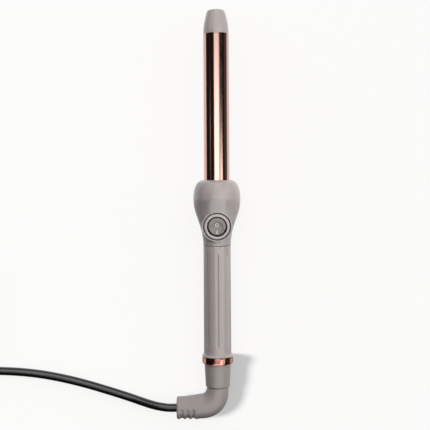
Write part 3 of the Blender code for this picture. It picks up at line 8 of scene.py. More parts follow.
import bmesh
import bpy
import numpy as np
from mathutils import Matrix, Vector
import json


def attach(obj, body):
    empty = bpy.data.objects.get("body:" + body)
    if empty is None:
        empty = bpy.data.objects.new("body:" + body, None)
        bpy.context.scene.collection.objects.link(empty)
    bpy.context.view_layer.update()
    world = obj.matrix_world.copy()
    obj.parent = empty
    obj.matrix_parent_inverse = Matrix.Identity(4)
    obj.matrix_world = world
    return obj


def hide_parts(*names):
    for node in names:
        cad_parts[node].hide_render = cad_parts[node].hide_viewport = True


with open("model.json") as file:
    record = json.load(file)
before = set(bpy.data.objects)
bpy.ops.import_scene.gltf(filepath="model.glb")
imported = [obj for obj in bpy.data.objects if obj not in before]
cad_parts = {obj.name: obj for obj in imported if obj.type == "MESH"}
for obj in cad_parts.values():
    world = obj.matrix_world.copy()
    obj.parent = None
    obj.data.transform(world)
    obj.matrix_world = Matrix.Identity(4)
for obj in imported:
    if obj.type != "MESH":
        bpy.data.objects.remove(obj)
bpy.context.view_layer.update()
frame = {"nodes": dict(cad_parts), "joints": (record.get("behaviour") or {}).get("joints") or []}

# The wand's own directions
# It was assembled upright and then laid down on its copper band and its bulb, so that the barrel
# rises slightly towards the tip. The swivel joint gives its axis and the height of the elbow's top.
MM = 0.001
ELBOW_TOP = 32.8 * MM
swivel = next(joint for joint in frame["joints"] if joint["name"] == "cord_swivel")
wand_axis = np.array(swivel["axis"]) / np.linalg.norm(swivel["axis"])
wand_back = np.array((0.0, wand_axis[2], -wand_axis[1]))
wand_foot = np.array(swivel["pos_m"]) - ELBOW_TOP * wand_axis


def on_wand(right, back, along):
    """Place points given by their distance to the right, away from the switch and along the wand."""
    right, back, along = np.broadcast_arrays(right, back, along)
    return wand_foot + right[..., None] * np.array((1.0, 0.0, 0.0)) \
        + back[..., None] * wand_back + along[..., None] * wand_axis


# The picture
# One camera looks straight down on the table, square to the switch, from a little under a metre.
CAMERA_RIGHT = 7.1 * MM
CAMERA_UP = 1.6 * MM
CAMERA_HEIGHT = 890 * MM
FRAME_PIXELS = 430
FOCAL_PIXELS = 869
SENSOR_MM = 36.0
CAMERA_ROLL_DEG = -0.32
camera_data = bpy.data.cameras.new("overhead_camera")
camera_data.sensor_width = SENSOR_MM
camera_data.lens = SENSOR_MM * FOCAL_PIXELS / FRAME_PIXELS
camera_data.clip_start = 0.01
camera = bpy.data.objects.new("overhead_camera", camera_data)
camera.location = (CAMERA_RIGHT, CAMERA_UP, CAMERA_HEIGHT)
camera.rotation_euler = (0, 0, math.radians(CAMERA_ROLL_DEG))
bpy.context.scene.collection.objects.link(camera)
bpy.context.scene.camera = camera


# Mains cord, PVC-jacketed round flex
# It leaves the elbow's end, sinks to the table and runs to a tied two-layer coil, whose outer end
# goes on round to the plug. PVC is extruded, so it is smooth, with a soft waxy sheen.
CORD_RADIUS = 4.25 * MM
CORD_DIAMETER = 2 * CORD_RADIUS
CORD_FACE_GAP = 0.3 * MM
ELBOW_REACH = 41.5 * MM
ARM_HEIGHT = 22.8 * MM
cord_exit = on_wand(-ELBOW_REACH, 0.0, ARM_HEIGHT / 2)
lead_route = cord_exit + np.array((
    (-0.0003, 0.0, 0.0), (-0.0085, 0.0, 0.0), (-0.0180, 0.0012, -0.0009), (-0.0270, 0.0030, -0.0030),
    (-0.0360, 0.0054, -0.0056), (-0.0460, 0.0084, -0.0078), (-0.0570, 0.0119, -0.0087),
    (-0.0700, 0.0160, -0.0088), (-0.0850, 0.0206, -0.0088), (-0.1020, 0.0253, -0.0088),
    (-0.1200, 0.0295, -0.0088), (-0.1380, 0.0328, -0.0088), (-0.1560, 0.0350, -0.0088),
    (-0.1740, 0.0362, -0.0088), (-0.1920, 0.0366, -0.0088), (-0.2130, 0.0366, -0.0088),
    (-0.2340, 0.0366, -0.0088), (-0.2550, 0.0366, -0.0088)))
tail_steps = np.array((
    (0.0, 0.0003, 0.0), (0.0, 0.0090, 0.0), (0.0012, 0.0200, -0.0016), (0.0052, 0.0330, -0.0054),
    (0.0125, 0.0460, -0.0086), (0.0225, 0.0570, -0.0088), (0.0345, 0.0655, -0.0081),
    (0.0475, 0.0708, -0.0066), (0.0600, 0.0730, -0.0054), (0.0730, 0.0734, -0.0054)))
COIL_TURNS = 6.25
COIL_MEAN_RADIUS = 51 * MM
COIL_PITCH = CORD_DIAMETER + 0.65 * MM
COIL_LAYER_RISE = CORD_DIAMETER + 0.6 * MM
COIL_OUTER_RADIUS = COIL_MEAN_RADIUS + COIL_PITCH * COIL_TURNS / 4
TIE_ANGLE_DEG = 55.0
TIE_THICKNESS = 1 * MM
TIE_LIFT_FLAT_DEG = 14.0
TIE_LIFT_END_DEG = 52.0


def through(knots, count):
    """Smooth line through knots, as a Catmull-Rom spline with `count` points between each two."""
    knots = np.asarray(knots, float)
    held = np.vstack((2 * knots[0] - knots[1], knots, 2 * knots[-1] - knots[-2]))
    before, start, end, after = held[:-3, None], held[1:-2, None], held[2:-1, None], held[3:, None]
    t = np.linspace(0, 1, count, endpoint=False)[None, :, None]
    line = 0.5 * (2 * start + (end - before) * t + (2 * before - 5 * start + 4 * end - after) * t ** 2
                  + (3 * start - before - 3 * end + after) * t ** 3)
    return np.vstack((line.reshape(-1, knots.shape[1]), knots[-1:]))


def coil_line(centre, per_turn):
    """Two-layer spiral: inwards on the table, a half turn's climb, then outwards on the first layer.

    The radius changes by one pitch each turn. Near the tie both layers rise over its strap.
    """
    turns = np.linspace(0, COIL_TURNS, round(COIL_TURNS * per_turn) + 1)
    from_middle = turns - COIL_TURNS / 2
    radius = COIL_OUTER_RADIUS - COIL_PITCH * (COIL_TURNS / 2 - np.abs(from_middle))
    climb = np.clip(from_middle * 2 + 0.5, 0, 1)
    angle = -np.pi / 2 - 2 * np.pi * turns
    away = np.abs((np.degrees(angle) - TIE_ANGLE_DEG + 180) % 360 - 180)
    lift = np.clip((TIE_LIFT_END_DEG - away) / (TIE_LIFT_END_DEG - TIE_LIFT_FLAT_DEG), 0, 1)
    height = centre[2] + COIL_LAYER_RISE * climb ** 2 * (3 - 2 * climb) \
        + lift ** 2 * (3 - 2 * lift) * (TIE_THICKNESS + CORD_FACE_GAP)
    across, up = centre[0] + radius * np.cos(angle), centre[1] + radius * np.sin(angle)
    return np.column_stack((across, up, height))


lead_end = lead_route[-1]
coil_centre = (lead_end[0] - CORD_FACE_GAP - CORD_DIAMETER, lead_end[1] + COIL_OUTER_RADIUS, lead_end[2])
coil = coil_line(coil_centre, per_turn=60)
coil_end = coil[-1] + np.array((0, CORD_DIAMETER, 0))
tail_line = through(coil_end + tail_steps, 6)
plug_foot = tail_line[-1] + np.array((CORD_FACE_GAP, 0, 0))
cord_line = np.vstack((through(lead_route, 6), coil, tail_line))
cord_curve = bpy.data.curves.new("mains_cord", "CURVE")
cord_curve.dimensions = "3D"
cord_curve.bevel_depth = CORD_RADIUS
cord_curve.bevel_resolution = 5
cord_curve.use_fill_caps = True
cord_spline = cord_curve.splines.new("POLY")
cord_spline.points.add(len(cord_line) - 1)
cord_spline.points.foreach_set("co", np.column_stack((cord_line, np.ones(len(cord_line)))).ravel())
mains_cord = bpy.data.objects.new("mains_cord", cord_curve)
bpy.context.scene.collection.objects.link(mains_cord)


def from_hex(code):
    """Linear red, green and blue of an sRGB hex colour."""
    srgb = np.array([int(code[k:k + 2], 16) / 255 for k in (1, 3, 5)])
    linear = np.where(srgb <= 0.04045, srgb / 12.92, ((srgb + 0.055) / 1.055) ** 2.4)
    return (*(float(value) for value in linear), 1.0)


def add_node(tree, kind, inputs=None, **settings):
    """Add a shader node. Each input is a value or another node's output."""
    node = tree.nodes.new(kind)
    for key, value in settings.items():
        setattr(node, key, value)
    for key, value in (inputs or {}).items():
        if isinstance(value, bpy.types.NodeSocket):
            tree.links.new(value, node.inputs[key])
        else:
            node.inputs[key].default_value = value
    return node


def new_finish(name, **values):
    """Material with one Principled BSDF whose sockets take the given values."""
    finish = bpy.data.materials.new(name)
    finish.use_nodes = True
    shader = finish.node_tree.nodes["Principled BSDF"]
    for key, value in values.items():
        shader.inputs[key.replace("_", " ").title()].default_value = value
    return finish, finish.node_tree, shader


def speckle(tree, size, detail=2.0):
    """Noise whose patches are `size` metres across, on the piece's own coordinates."""
    place = add_node(tree, "ShaderNodeTexCoord")
    return add_node(tree, "ShaderNodeTexNoise",
                    {"Vector": place.outputs["Object"], "Scale": 1 / size, "Detail": detail})


def vary_roughness(tree, shader, noise, low, high):
    """Roughness that follows a noise: its usual range, 0.3 to 0.7, becomes low to high."""
    drift = add_node(tree, "ShaderNodeMapRange", {"Value": noise.outputs["Fac"], "From Min": 0.3,
                                                  "From Max": 0.7, "To Min": low, "To Max": high})
    tree.links.new(drift.outputs["Result"], shader.inputs["Roughness"])


def roughen(tree, shader, height, depth, strength=1.0):
    """Bump of `depth` metres from a height output."""
    bump = add_node(tree, "ShaderNodeBump", {"Height": height, "Distance": depth, "Strength": strength})
    tree.links.new(bump.outputs["Normal"], shader.inputs["Normal"])


# Flexible PVC, extruded: near black, with a faint haze where it has been handled
pvc_jacket, tree, shader = new_finish("flexible_pvc_extruded", base_color=from_hex("#0D0C0E"),
                                      coat_weight=1.0, coat_roughness=0.2)
vary_roughness(tree, shader, speckle(tree, 14 * MM), 0.3, 0.4)
roughen(tree, shader, speckle(tree, 0.8 * MM).outputs["Fac"], 0.03 * MM)
cord_curve.materials.append(pvc_jacket)


# Hook-and-loop tie round the put-away cord
# A woven nylon strap, 12 mm wide, closed on itself with its free end pressed down on the outside.
TIE_WIDTH = 12 * MM
TIE_GAP = 1 * MM
TIE_CORNER = 3.5 * MM
TIE_HEADROOM = 1.5 * MM
FLAP_LENGTH = 25.5 * MM
FLAP_INSET = 9 * MM
FLAP_THICKNESS = 0.7 * MM


def smooth_mesh(name, points, finish, body, wrap_rows=False, wrap_columns=True, sharp_deg=40, uv=None):
    """Mesh over a grid of points, rows by columns, whose rows and columns may each close on themselves.

    Points that fall together, as at a pole, are merged, and the faces then point outwards.
    """
    rows, columns = points.shape[:2]
    row = np.arange(rows if wrap_rows else rows - 1)[:, None]
    column = np.arange(columns if wrap_columns else columns - 1)[None, :]
    next_row, next_column = (row + 1) % rows, (column + 1) % columns
    corners = [row * columns + column, row * columns + next_column,
               next_row * columns + next_column, next_row * columns + column]
    faces = np.stack([np.broadcast_to(corner, (row.size, column.size)) for corner in corners], axis=-1)
    mesh = bpy.data.meshes.new(name)
    mesh.from_pydata(points.reshape(-1, 3), [], faces.reshape(-1, 4).tolist())
    if uv is not None:
        layer = mesh.uv_layers.new(name="along")
        loops = np.empty(len(mesh.loops), np.int32)
        mesh.loops.foreach_get("vertex_index", loops)
        layer.data.foreach_set("uv", uv.reshape(-1, 2)[loops].astype(np.float32).ravel())
    close_mesh(mesh, sharp_deg)
    mesh.materials.append(finish)
    piece = bpy.data.objects.new(name, mesh)
    bpy.context.scene.collection.objects.link(piece)
    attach(piece, body)
    return piece


def close_mesh(mesh, sharp_deg):
    """Merge doubled points, turn the faces outwards and shade smoothly below an angle."""
    work = bmesh.new()
    work.from_mesh(mesh)
    bmesh.ops.remove_doubles(work, verts=work.verts, dist=0.0005 * MM)
    bmesh.ops.recalc_face_normals(work, faces=work.faces)
    work.to_mesh(mesh)
    work.free()
    mesh.shade_smooth()
    mesh.set_sharp_from_angle(angle=math.radians(sharp_deg))


def rounded(corners, steps=5):
    """Closed outline through corners (x, y, rounding), each rounded by a quadratic Bezier curve.

    The curve starts and ends `rounding` away from its corner. A point a little further out on
    either side keeps the flat parts flat when they are shaded smoothly.
    """
    corners = np.asarray(corners, float)
    points, size = corners[:, :2], corners[:, 2:]
    before, after = np.roll(points, 1, 0) - points, np.roll(points, -1, 0) - points
    before_length = np.linalg.norm(before, axis=1, keepdims=True)
    after_length = np.linalg.norm(after, axis=1, keepdims=True)
    start = points + before / before_length * size
    end = points + after / after_length * size
    hold_start = points + before / before_length * np.minimum(1.5 * size, before_length / 2)
    hold_end = points + after / after_length * np.minimum(1.5 * size, after_length / 2)
    t = np.linspace(0, 1, steps)[None, :, None]
    bend = (1 - t) ** 2 * start[:, None] + 2 * t * (1 - t) * points[:, None] + t ** 2 * end[:, None]
    return np.concatenate((hold_start[:, None], bend, hold_end[:, None]), axis=1).reshape(-1, 2)


def strap(path, width, thickness):
    """Grid of a flat strap: a rounded section carried along a closed or open path in its own plane.

    `path` holds (outward, up) points. The section's thickness lies along the path's outward normal.
    """
    heading = np.gradient(path, axis=0)
    heading /= np.linalg.norm(heading, axis=1, keepdims=True)
    normal = np.column_stack((heading[:, 1], -heading[:, 0]))
    edge = thickness * 0.3
    section = rounded(((-width / 2, 0, edge), (width / 2, 0, edge), (width / 2, thickness, edge),
                       (-width / 2, thickness, edge)), 4)
    place = path[:, None] + normal[:, None] * section[None, :, 1:]
    return np.concatenate((place, np.broadcast_to(section[None, :, :1], place.shape[:2] + (1,))), axis=-1)


def with_end_faces(grid):
    """Close a grid's first and last section by a row of points at the section's middle."""
    ends = [np.broadcast_to(grid[k].mean(axis=0), grid[k].shape) for k in (0, -1)]
    return np.concatenate((ends[:1], grid, ends[1:]))


tie_inner = COIL_MEAN_RADIUS - COIL_PITCH * COIL_TURNS / 4 - CORD_RADIUS - TIE_GAP
tie_outer = COIL_OUTER_RADIUS + CORD_RADIUS + TIE_GAP
tie_top = TIE_THICKNESS + 2 * CORD_DIAMETER + TIE_HEADROOM
tie_turn = math.radians(TIE_ANGLE_DEG)
tie_out = np.array((math.cos(tie_turn), math.sin(tie_turn), 0.0))
tie_across = np.array((-math.sin(tie_turn), math.cos(tie_turn), 0.0))


def at_tie(grid):
    """Place (outward, up, across) points at the tie's station on the coil."""
    foot = np.array((coil_centre[0], coil_centre[1], 0.0))
    upwards = np.array((0, 0, 1.0))
    return foot + grid[..., :1] * tie_out + grid[..., 1:2] * upwards + grid[..., 2:] * tie_across


# Woven nylon, warp and weft 0.9 mm apart: drawn about twice as coarse as the real weave, to show
nylon_weave, tree, shader = new_finish("nylon_strap_woven", base_color=from_hex("#161617"), roughness=0.85,
                                       sheen_weight=0.4, sheen_roughness=0.5)
WEAVE_PITCH = 0.9 * MM
WAVE_LENGTH = 0.314             # of a wave texture whose scale is 1
uv_place = add_node(tree, "ShaderNodeUVMap", uv_map="along")
warp, weft = (add_node(tree, "ShaderNodeTexWave", {"Vector": uv_place.outputs["UV"], "Distortion": 1.0,
                                                   "Scale": WAVE_LENGTH / WEAVE_PITCH},
                       bands_direction=way) for way in "XY")
threads = add_node(tree, "ShaderNodeMath", {0: warp.outputs["Fac"], 1: weft.outputs["Fac"]},
                   operation="MULTIPLY")
roughen(tree, shader, threads.outputs["Value"], 0.25 * MM)

loop_path = rounded(((tie_inner, TIE_THICKNESS, TIE_CORNER), (tie_outer, TIE_THICKNESS, TIE_CORNER),
                     (tie_outer, tie_top, TIE_CORNER), (tie_inner, tie_top, TIE_CORNER)), 9)
# The strap wraps round the path, so its ends meet under the flap
loop_path = np.vstack((loop_path, loop_path[:1]))
loop_grid = strap(loop_path, TIE_WIDTH, TIE_THICKNESS)[:-1]
loop_steps = np.linalg.norm(np.diff(loop_path, axis=0), axis=1)
loop_along = np.concatenate(([0], np.cumsum(loop_steps)))[:-1]
loop_uv = np.stack(np.broadcast_arrays(loop_along[:, None], loop_grid[..., 2]), axis=-1)
cord_tie = smooth_mesh("cord_tie_strap", at_tie(loop_grid), nylon_weave, "cord_side",
                       wrap_rows=True, uv=loop_uv)
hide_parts("cord_tie")
flap_outward = tie_inner + FLAP_INSET + FLAP_LENGTH * np.linspace(1, 0, 12)
flap_path = np.column_stack((flap_outward, np.full_like(flap_outward, tie_top + TIE_THICKNESS)))
flap_grid = with_end_faces(strap(flap_path, TIE_WIDTH, FLAP_THICKNESS))
flap_uv = flap_grid[..., ::2]
tie_flap = smooth_mesh("cord_tie_flap", at_tie(flap_grid), nylon_weave, "cord_side", uv=flap_uv)


# Plug, moulded on the cord's end
# The same PVC, injection moulded round the blades: a flat body with a soft parting edge, and a
# ribbed tail that protects the cord. The two blades are stamped brass.
PLUG_LENGTH = 44 * MM
PLUG_WIDTH = 25 * MM
PLUG_HEIGHT = 15.4 * MM
# Shares of the length, the width and the height, and the section's squareness
plug_sections = np.array((
    (0.0, 0.42, 0.66, 2.0), (0.17, 0.43, 0.68, 2.0), (0.33, 0.50, 0.74, 2.2), (0.45, 0.70, 0.88, 2.8),
    (0.55, 0.90, 0.97, 3.6), (0.66, 1.0, 1.0, 4.2), (0.95, 1.0, 1.0, 4.2), (0.985, 0.975, 0.96, 4.0),
    (1.0, 0.92, 0.88, 3.6)))
TAIL_SHARE = 0.42               # of the plug's length has ribs
TAIL_RIB_PITCH = 3.4 * MM
TAIL_RIB_DEPTH = 0.45 * MM


def plug_grid():
    """Superellipse sections along the plug: |across|^n + |up|^n = 1, with n from 2 to about 4.

    Ribs are a raised cosine taken off the tail's sections, fading towards the body.
    """
    stations = through(plug_sections, 10)
    share, width, height, squareness = (stations[:, k:k + 1] for k in range(4))
    angle = np.linspace(0, 2 * np.pi, 96, endpoint=False)[None, :]
    power = 2 / squareness
    across = np.sign(np.cos(angle)) * np.abs(np.cos(angle)) ** power
    up = np.sign(np.sin(angle)) * np.abs(np.sin(angle)) ** power
    along = share * PLUG_LENGTH
    fade = np.clip((TAIL_SHARE - share) / 0.08, 0, 1) * np.clip(share / 0.04, 0, 1)
    rib = TAIL_RIB_DEPTH * fade * (0.5 - 0.5 * np.cos(2 * np.pi * along / TAIL_RIB_PITCH))
    grid = np.stack(np.broadcast_arrays(
        plug_foot[0] + along, plug_foot[1] + (PLUG_WIDTH / 2 * width - rib) * across,
        plug_foot[2] + (PLUG_HEIGHT / 2 * height - rib) * up), axis=-1)
    return with_end_faces(grid)


# Flexible PVC again, but from a spark-eroded mould: matter and faintly grained
pvc_moulded, tree, shader = new_finish("pvc_injection_moulded", base_color=from_hex("#171618"))
vary_roughness(tree, shader, speckle(tree, 9 * MM), 0.42, 0.56)
roughen(tree, shader, speckle(tree, 0.5 * MM, 4.0).outputs["Fac"], 0.05 * MM)
plug = smooth_mesh("plug_moulding", plug_grid(), pvc_moulded, "cord_side", sharp_deg=50)
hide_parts("plug_body")


def fine_lines(tree, per_mm, detail=2.0):
    """Noise drawn out into lines: `per_mm` gives its patches to the millimetre along x, y and z."""
    place = add_node(tree, "ShaderNodeTexCoord")
    stretched = add_node(tree, "ShaderNodeMapping", {"Vector": place.outputs["Object"],
                                                     "Scale": [count / MM for count in per_mm]})
    return add_node(tree, "ShaderNodeTexNoise", {"Vector": stretched.outputs["Vector"], "Scale": 1.0,
                                                 "Detail": detail})


# Stamped brass: rolled sheet, so fine scratches run along it
stamped_brass, tree, shader = new_finish("brass_stamped", base_color=from_hex("#CDAE62"), metallic=1.0)
vary_roughness(tree, shader, fine_lines(tree, (0.06, 0.9, 0.9), 3.0), 0.25, 0.42)


def dress(finish, slot, *nodes):
    """Give CAD nodes whose shape is right a finish."""
    for node in nodes:
        for holder in frame["nodes"][node].material_slots:
            holder.material = finish


dress(stamped_brass, "rolled_brass", "plug_blade_1", "plug_blade_2", "brush_line", "brush_neutral",
      "slip_ring_line", "slip_ring_neutral", "contact_arm", "terminal_feed", "terminal_switched")
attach(mains_cord, "cord_side")
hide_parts("cord_lead", "cord_coil", "cord_tail")


# Cord elbow with flex ribs
# A right-angled strain relief moulded in the grip's colour. Its round neck turns under the tail
# cap; the arm is ribbed on its outer side only, where the cord pulls it open.
NECK_RADIUS = 10.8 * MM
BEND_OUTER_RADIUS = 28.0 * MM
BEND_SQUARENESS = 2.15          # 2 would be a circle
THROAT_RADIUS = 3.2 * MM
THROAT_FLARE = 2.0 * MM
ARM_RISE = 0.6 * MM
ARM_HALF_WIDTH = 10.3 * MM
ARM_END_ROUND = 1.9 * MM
EDGE_ROUND = 0.3 * MM
RIB_PITCH = 5.7 * MM
RIB_END_LAND = 3.55 * MM
RIB_GROOVE_WIDTH = 3.3 * MM
RIB_GROOVE_DEPTH = 1.1 * MM
RIB_GROOVE_TOP = 11.8 * MM
RIB_GROOVES = 3
RIB_GROOVE_SIDE = 0.75 * MM
bend_centre = np.array((NECK_RADIUS - BEND_OUTER_RADIUS, BEND_OUTER_RADIUS + ARM_RISE))


def elbow_grid():
    """Oval sections that each span the outer and the inner side line of the bend and the arm.

    In the bend the outer line is R (|cos a|^n + |sin a|^n)^(-1/n). The inner line swings in from the
    neck to a small throat, as the square of the angle left, and then sinks along the arm as the
    square of the distance left.
    """
    share = np.linspace(0, 1, 60)
    angle = -np.pi / 2 * share
    spoke = np.column_stack((np.cos(angle), np.sin(angle)))
    power_sum = (np.abs(spoke) ** BEND_SQUARENESS).sum(axis=1)
    outer_reach = BEND_OUTER_RADIUS * power_sum ** (-1 / BEND_SQUARENESS)
    inner_reach = THROAT_RADIUS + THROAT_FLARE * (1 - share) ** 2
    outer = bend_centre + outer_reach[:, None] * spoke
    inner = bend_centre + inner_reach[:, None] * spoke
    half = NECK_RADIUS + (ARM_HALF_WIDTH - NECK_RADIUS) * share
    neck_inset = np.array((EDGE_ROUND, EDGE_ROUND * 0.3, 0))
    neck_height = ELBOW_TOP - np.array((0, EDGE_ROUND * 0.3, EDGE_ROUND))
    outer = np.vstack((np.column_stack((NECK_RADIUS - neck_inset, neck_height)), outer))
    inner = np.vstack((np.column_stack((neck_inset - NECK_RADIUS, neck_height)), inner))
    half = np.concatenate((NECK_RADIUS - neck_inset, half))

    arm = np.linspace(0, 1, 150)[1:]
    start, end = bend_centre[0], ARM_END_ROUND - ELBOW_REACH
    x = start + (end - start) * arm
    swell = bend_centre[1] - THROAT_RADIUS - ARM_HEIGHT
    reach = (x - start) / (-ELBOW_REACH - start)
    low = ARM_RISE * np.clip(1 - reach / 0.2, 0, 1)
    high = ARM_HEIGHT + swell * (1 - reach) ** 2
    fillet = np.linspace(0, np.pi / 2, 8)[1:]
    inset = ARM_END_ROUND * (1 - np.cos(fillet))
    x = np.concatenate((x, end - ARM_END_ROUND * np.sin(fillet)))
    low = np.concatenate((low, low[-1] + inset))
    high = np.concatenate((high, high[-1] - inset))
    outer = np.vstack((outer, np.column_stack((x, low))))
    inner = np.vstack((inner, np.column_stack((x, high))))
    half = np.concatenate((half, np.full(len(arm), ARM_HALF_WIDTH), ARM_HALF_WIDTH - inset))

    turn = np.linspace(0, 2 * np.pi, 320, endpoint=False)[None, :]
    middle, spoke = (outer + inner)[:, None] / 2, (outer - inner)[:, None] / 2
    across = half[:, None] * np.sin(turn)
    off_middle = spoke * np.cos(turn)[..., None]
    right, along = np.moveaxis(middle + off_middle, -1, 0)

    # A groove between two ribs is a bay with a round top, sunk towards the arm's middle line
    rib_number = (right + ELBOW_REACH - RIB_END_LAND - RIB_GROOVE_WIDTH / 2) / RIB_PITCH
    beside = (rib_number - np.clip(np.round(rib_number), 0, RIB_GROOVES - 1)) * RIB_PITCH
    above = np.maximum(along - RIB_GROOVE_TOP + RIB_GROOVE_WIDTH / 2, 0)
    edge = RIB_GROOVE_WIDTH / 2 - np.hypot(beside, above)
    sink = np.clip(0.5 + edge / RIB_GROOVE_SIDE, 0, 1)
    sink = RIB_GROOVE_DEPTH * sink ** 2 * (3 - 2 * sink)
    from_middle = np.sqrt(across ** 2 + (off_middle ** 2).sum(axis=-1))
    scale = 1 - sink / from_middle
    place = middle + off_middle * scale[..., None]
    grid = on_wand(place[..., 0], across * scale, place[..., 1])
    return with_end_faces(grid)


def vary_colour(tree, shader, size, darker, lighter):
    """Colour that drifts between two tones, in patches `size` metres across."""
    tone = add_node(tree, "ShaderNodeMixRGB", {"Fac": speckle(tree, size).outputs["Fac"],
                                               "Color1": from_hex(darker), "Color2": from_hex(lighter)})
    tree.links.new(tone.outputs["Color"], shader.inputs["Base Color"])


GRIT = 0.35 * MM


def velvety(name, darker, lighter, coat):
    """Warm grey moulding with a fine rubbery grit; its tone drifts a little between two colours."""
    finish, tree, shader = new_finish(name, coat_weight=coat, coat_roughness=0.2)
    vary_colour(tree, shader, 22 * MM, darker, lighter)
    vary_roughness(tree, shader, speckle(tree, 6 * MM), 0.28, 0.34)
    roughen(tree, shader, speckle(tree, GRIT).outputs["Fac"], 0.008 * MM)
    return finish


# Thermoplastic rubber, moulded through in its colour, a shade darker than the coated grip
taupe_rubber = velvety("thermoplastic_rubber_moulded", "#9F9693", "#A59C99", 0.0)
elbow = smooth_mesh("cord_elbow_moulding", elbow_grid(), taupe_rubber, "cord_side", sharp_deg=85)
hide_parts("cord_elbow")


# Swivel, inside the tail cap
# A hollow nylon shaft is pressed into the elbow and turns in a nylon bush, held by a steel clip.
# Two brass rings on it carry the current to two leaf brushes in a nylon holder.

# Nylon, moulded, uncoloured: waxy, and light goes a little way into it
nylon, tree, shader = new_finish("nylon_moulded", roughness=0.5, subsurface_weight=0.1,
                                 subsurface_scale=1 * MM)
vary_colour(tree, shader, 4 * MM, "#CFCBC0", "#C6C2B6")
dress(nylon, "natural_nylon", "swivel_shaft", "swivel_bush", "brush_holder")

# Steel, zinc plated: pale grey, its crystals just showing in the gloss
zinc_steel, tree, shader = new_finish("steel_zinc_plated", base_color=from_hex("#C3C5C4"), metallic=1.0)
vary_roughness(tree, shader, speckle(tree, 1.5 * MM), 0.28, 0.45)
dress(zinc_steel, "zinc_plated_steel", "shaft_clip", "collar_screw_1", "collar_screw_2",
      "heater_spring", "thermal_fuse")


# Tail cap
# Moulded in the grip's colour, narrower at the elbow. Its spigot fills the band and the grip.
CAP_FOOT = ELBOW_TOP + 0.4 * MM
CAP_SHOULDER = CAP_FOOT + 23.8 * MM
CAP_INSIDE = CAP_FOOT + 3.6 * MM
CAP_MOUTH = 5.9 * MM
CAP_FOOT_RADIUS = 12.1 * MM
CAP_SHOULDER_RADIUS = 13.3 * MM
SPIGOT_ROOT = CAP_SHOULDER - 1 * MM
SPIGOT_TOP = CAP_SHOULDER + 17 * MM
SPIGOT_RADIUS = 11.25 * MM
SPIGOT_BORE = 9.65 * MM
TURNED_SIDES = 128


def turned(name, outline, finish, body="wand", place=on_wand, sides=TURNED_SIDES, **shading):
    """Turn a closed outline of (radius, height) points about its axis.

    `place` takes right, back and along. An outline that starts and ends on the axis is solid there.
    """
    angle = np.linspace(0, 2 * np.pi, sides, endpoint=False)[None, :]
    radius, height = outline[:, :1], outline[:, 1:]
    grid = place(radius * np.cos(angle), radius * np.sin(angle), height + 0 * angle)
    return smooth_mesh(name, grid, finish, body, wrap_rows=outline[0, 0] > 0, **shading)


cap_outline = rounded((
    (CAP_MOUTH, CAP_FOOT, 0.3 * MM), (CAP_FOOT_RADIUS, CAP_FOOT, 1.2 * MM),
    (CAP_SHOULDER_RADIUS, CAP_SHOULDER, 0.4 * MM), (SPIGOT_BORE, CAP_SHOULDER, 0),
    (SPIGOT_BORE, CAP_INSIDE, 0), (CAP_MOUTH, CAP_INSIDE, 0.2 * MM)))
spigot_outline = rounded((
    (SPIGOT_BORE, SPIGOT_ROOT, 0), (SPIGOT_RADIUS, SPIGOT_ROOT, 0),
    (SPIGOT_RADIUS, SPIGOT_TOP, 0.4 * MM), (SPIGOT_BORE, SPIGOT_TOP, 0.4 * MM)))
# ABS, moulded, uncoated, in the elbow's tone
taupe_abs = velvety("abs_moulded_satin", "#A09794", "#A69D9A", 0.0)
tail_cap = turned("tail_cap_moulding", cap_outline, taupe_abs)
for piece in (tail_cap, turned("tail_cap_spigot", spigot_outline, taupe_abs)):
    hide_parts("tail_cap")


# Trim band
# A ring formed from aluminium sheet and plated, clamped between cap and grip by an inner flange.
SEAT_GAP = 0.3 * MM
BAND_FOOT = CAP_SHOULDER + SEAT_GAP
BAND_TOP = BAND_FOOT + 6.7 * MM
BAND_RADIUS = 15.45 * MM
BAND_WALL = 1 * MM
GRIP_RADIUS = 13.75 * MM
GRIP_BORE = GRIP_RADIUS - 2.2 * MM
band_outline = rounded((
    (GRIP_BORE, BAND_FOOT, 0.1 * MM), (BAND_RADIUS, BAND_FOOT, 0.8 * MM),
    (BAND_RADIUS, BAND_TOP, 0.8 * MM), (BAND_RADIUS - BAND_WALL, BAND_TOP, 0.1 * MM),
    (BAND_RADIUS - BAND_WALL, BAND_FOOT + BAND_WALL, 0.1 * MM),
    (GRIP_BORE, BAND_FOOT + BAND_WALL, 0.1 * MM)))
# Copper plating, polished: a mirror a shade redder than the barrel's
copper, tree, shader = new_finish("aluminium_copper_plated", metallic=1.0, base_color=from_hex("#DDA08F"))
vary_roughness(tree, shader, speckle(tree, 2 * MM), 0.08, 0.14)
trim_band = turned("trim_band_plated", band_outline, copper)
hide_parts("trim_band")


# Grip
# A moulded tube with eight long flutes, round-ended like a milling cutter's path, and a flared
# foot that covers the band's edge. ABS with a soft-touch coat.
GRIP_SEAT = BAND_FOOT + BAND_WALL + SEAT_GAP
GRIP_FOOT = BAND_TOP + SEAT_GAP
GRIP_TOP = GRIP_FOOT + 111 * MM
FLANGE_RADIUS = 15.55 * MM
FLUTE_COUNT = 8
FLUTE_RADIUS = 2.9 * MM
FLUTE_DEPTH = 0.7 * MM
FLUTE_EDGE = 0.1 * MM
GRIP_ROWS = 104                 # along the fluted stretch, closest at its ends
GRIP_COLUMNS = 560              # 0.15 mm apart, so that a flute's edge is crisp
FLUTE_LOW = GRIP_FOOT + 8.6 * MM + FLUTE_RADIUS
FLUTE_HIGH = GRIP_TOP - 6.2 * MM - FLUTE_RADIUS


def soft_min(a, b, width):
    """Smaller of two values, blended over `width` by a parabola where they are close."""
    near = np.clip(0.5 + 0.5 * (b - a) / width, 0, 1)
    return b + (a - b) * near - width * near * (1 - near)


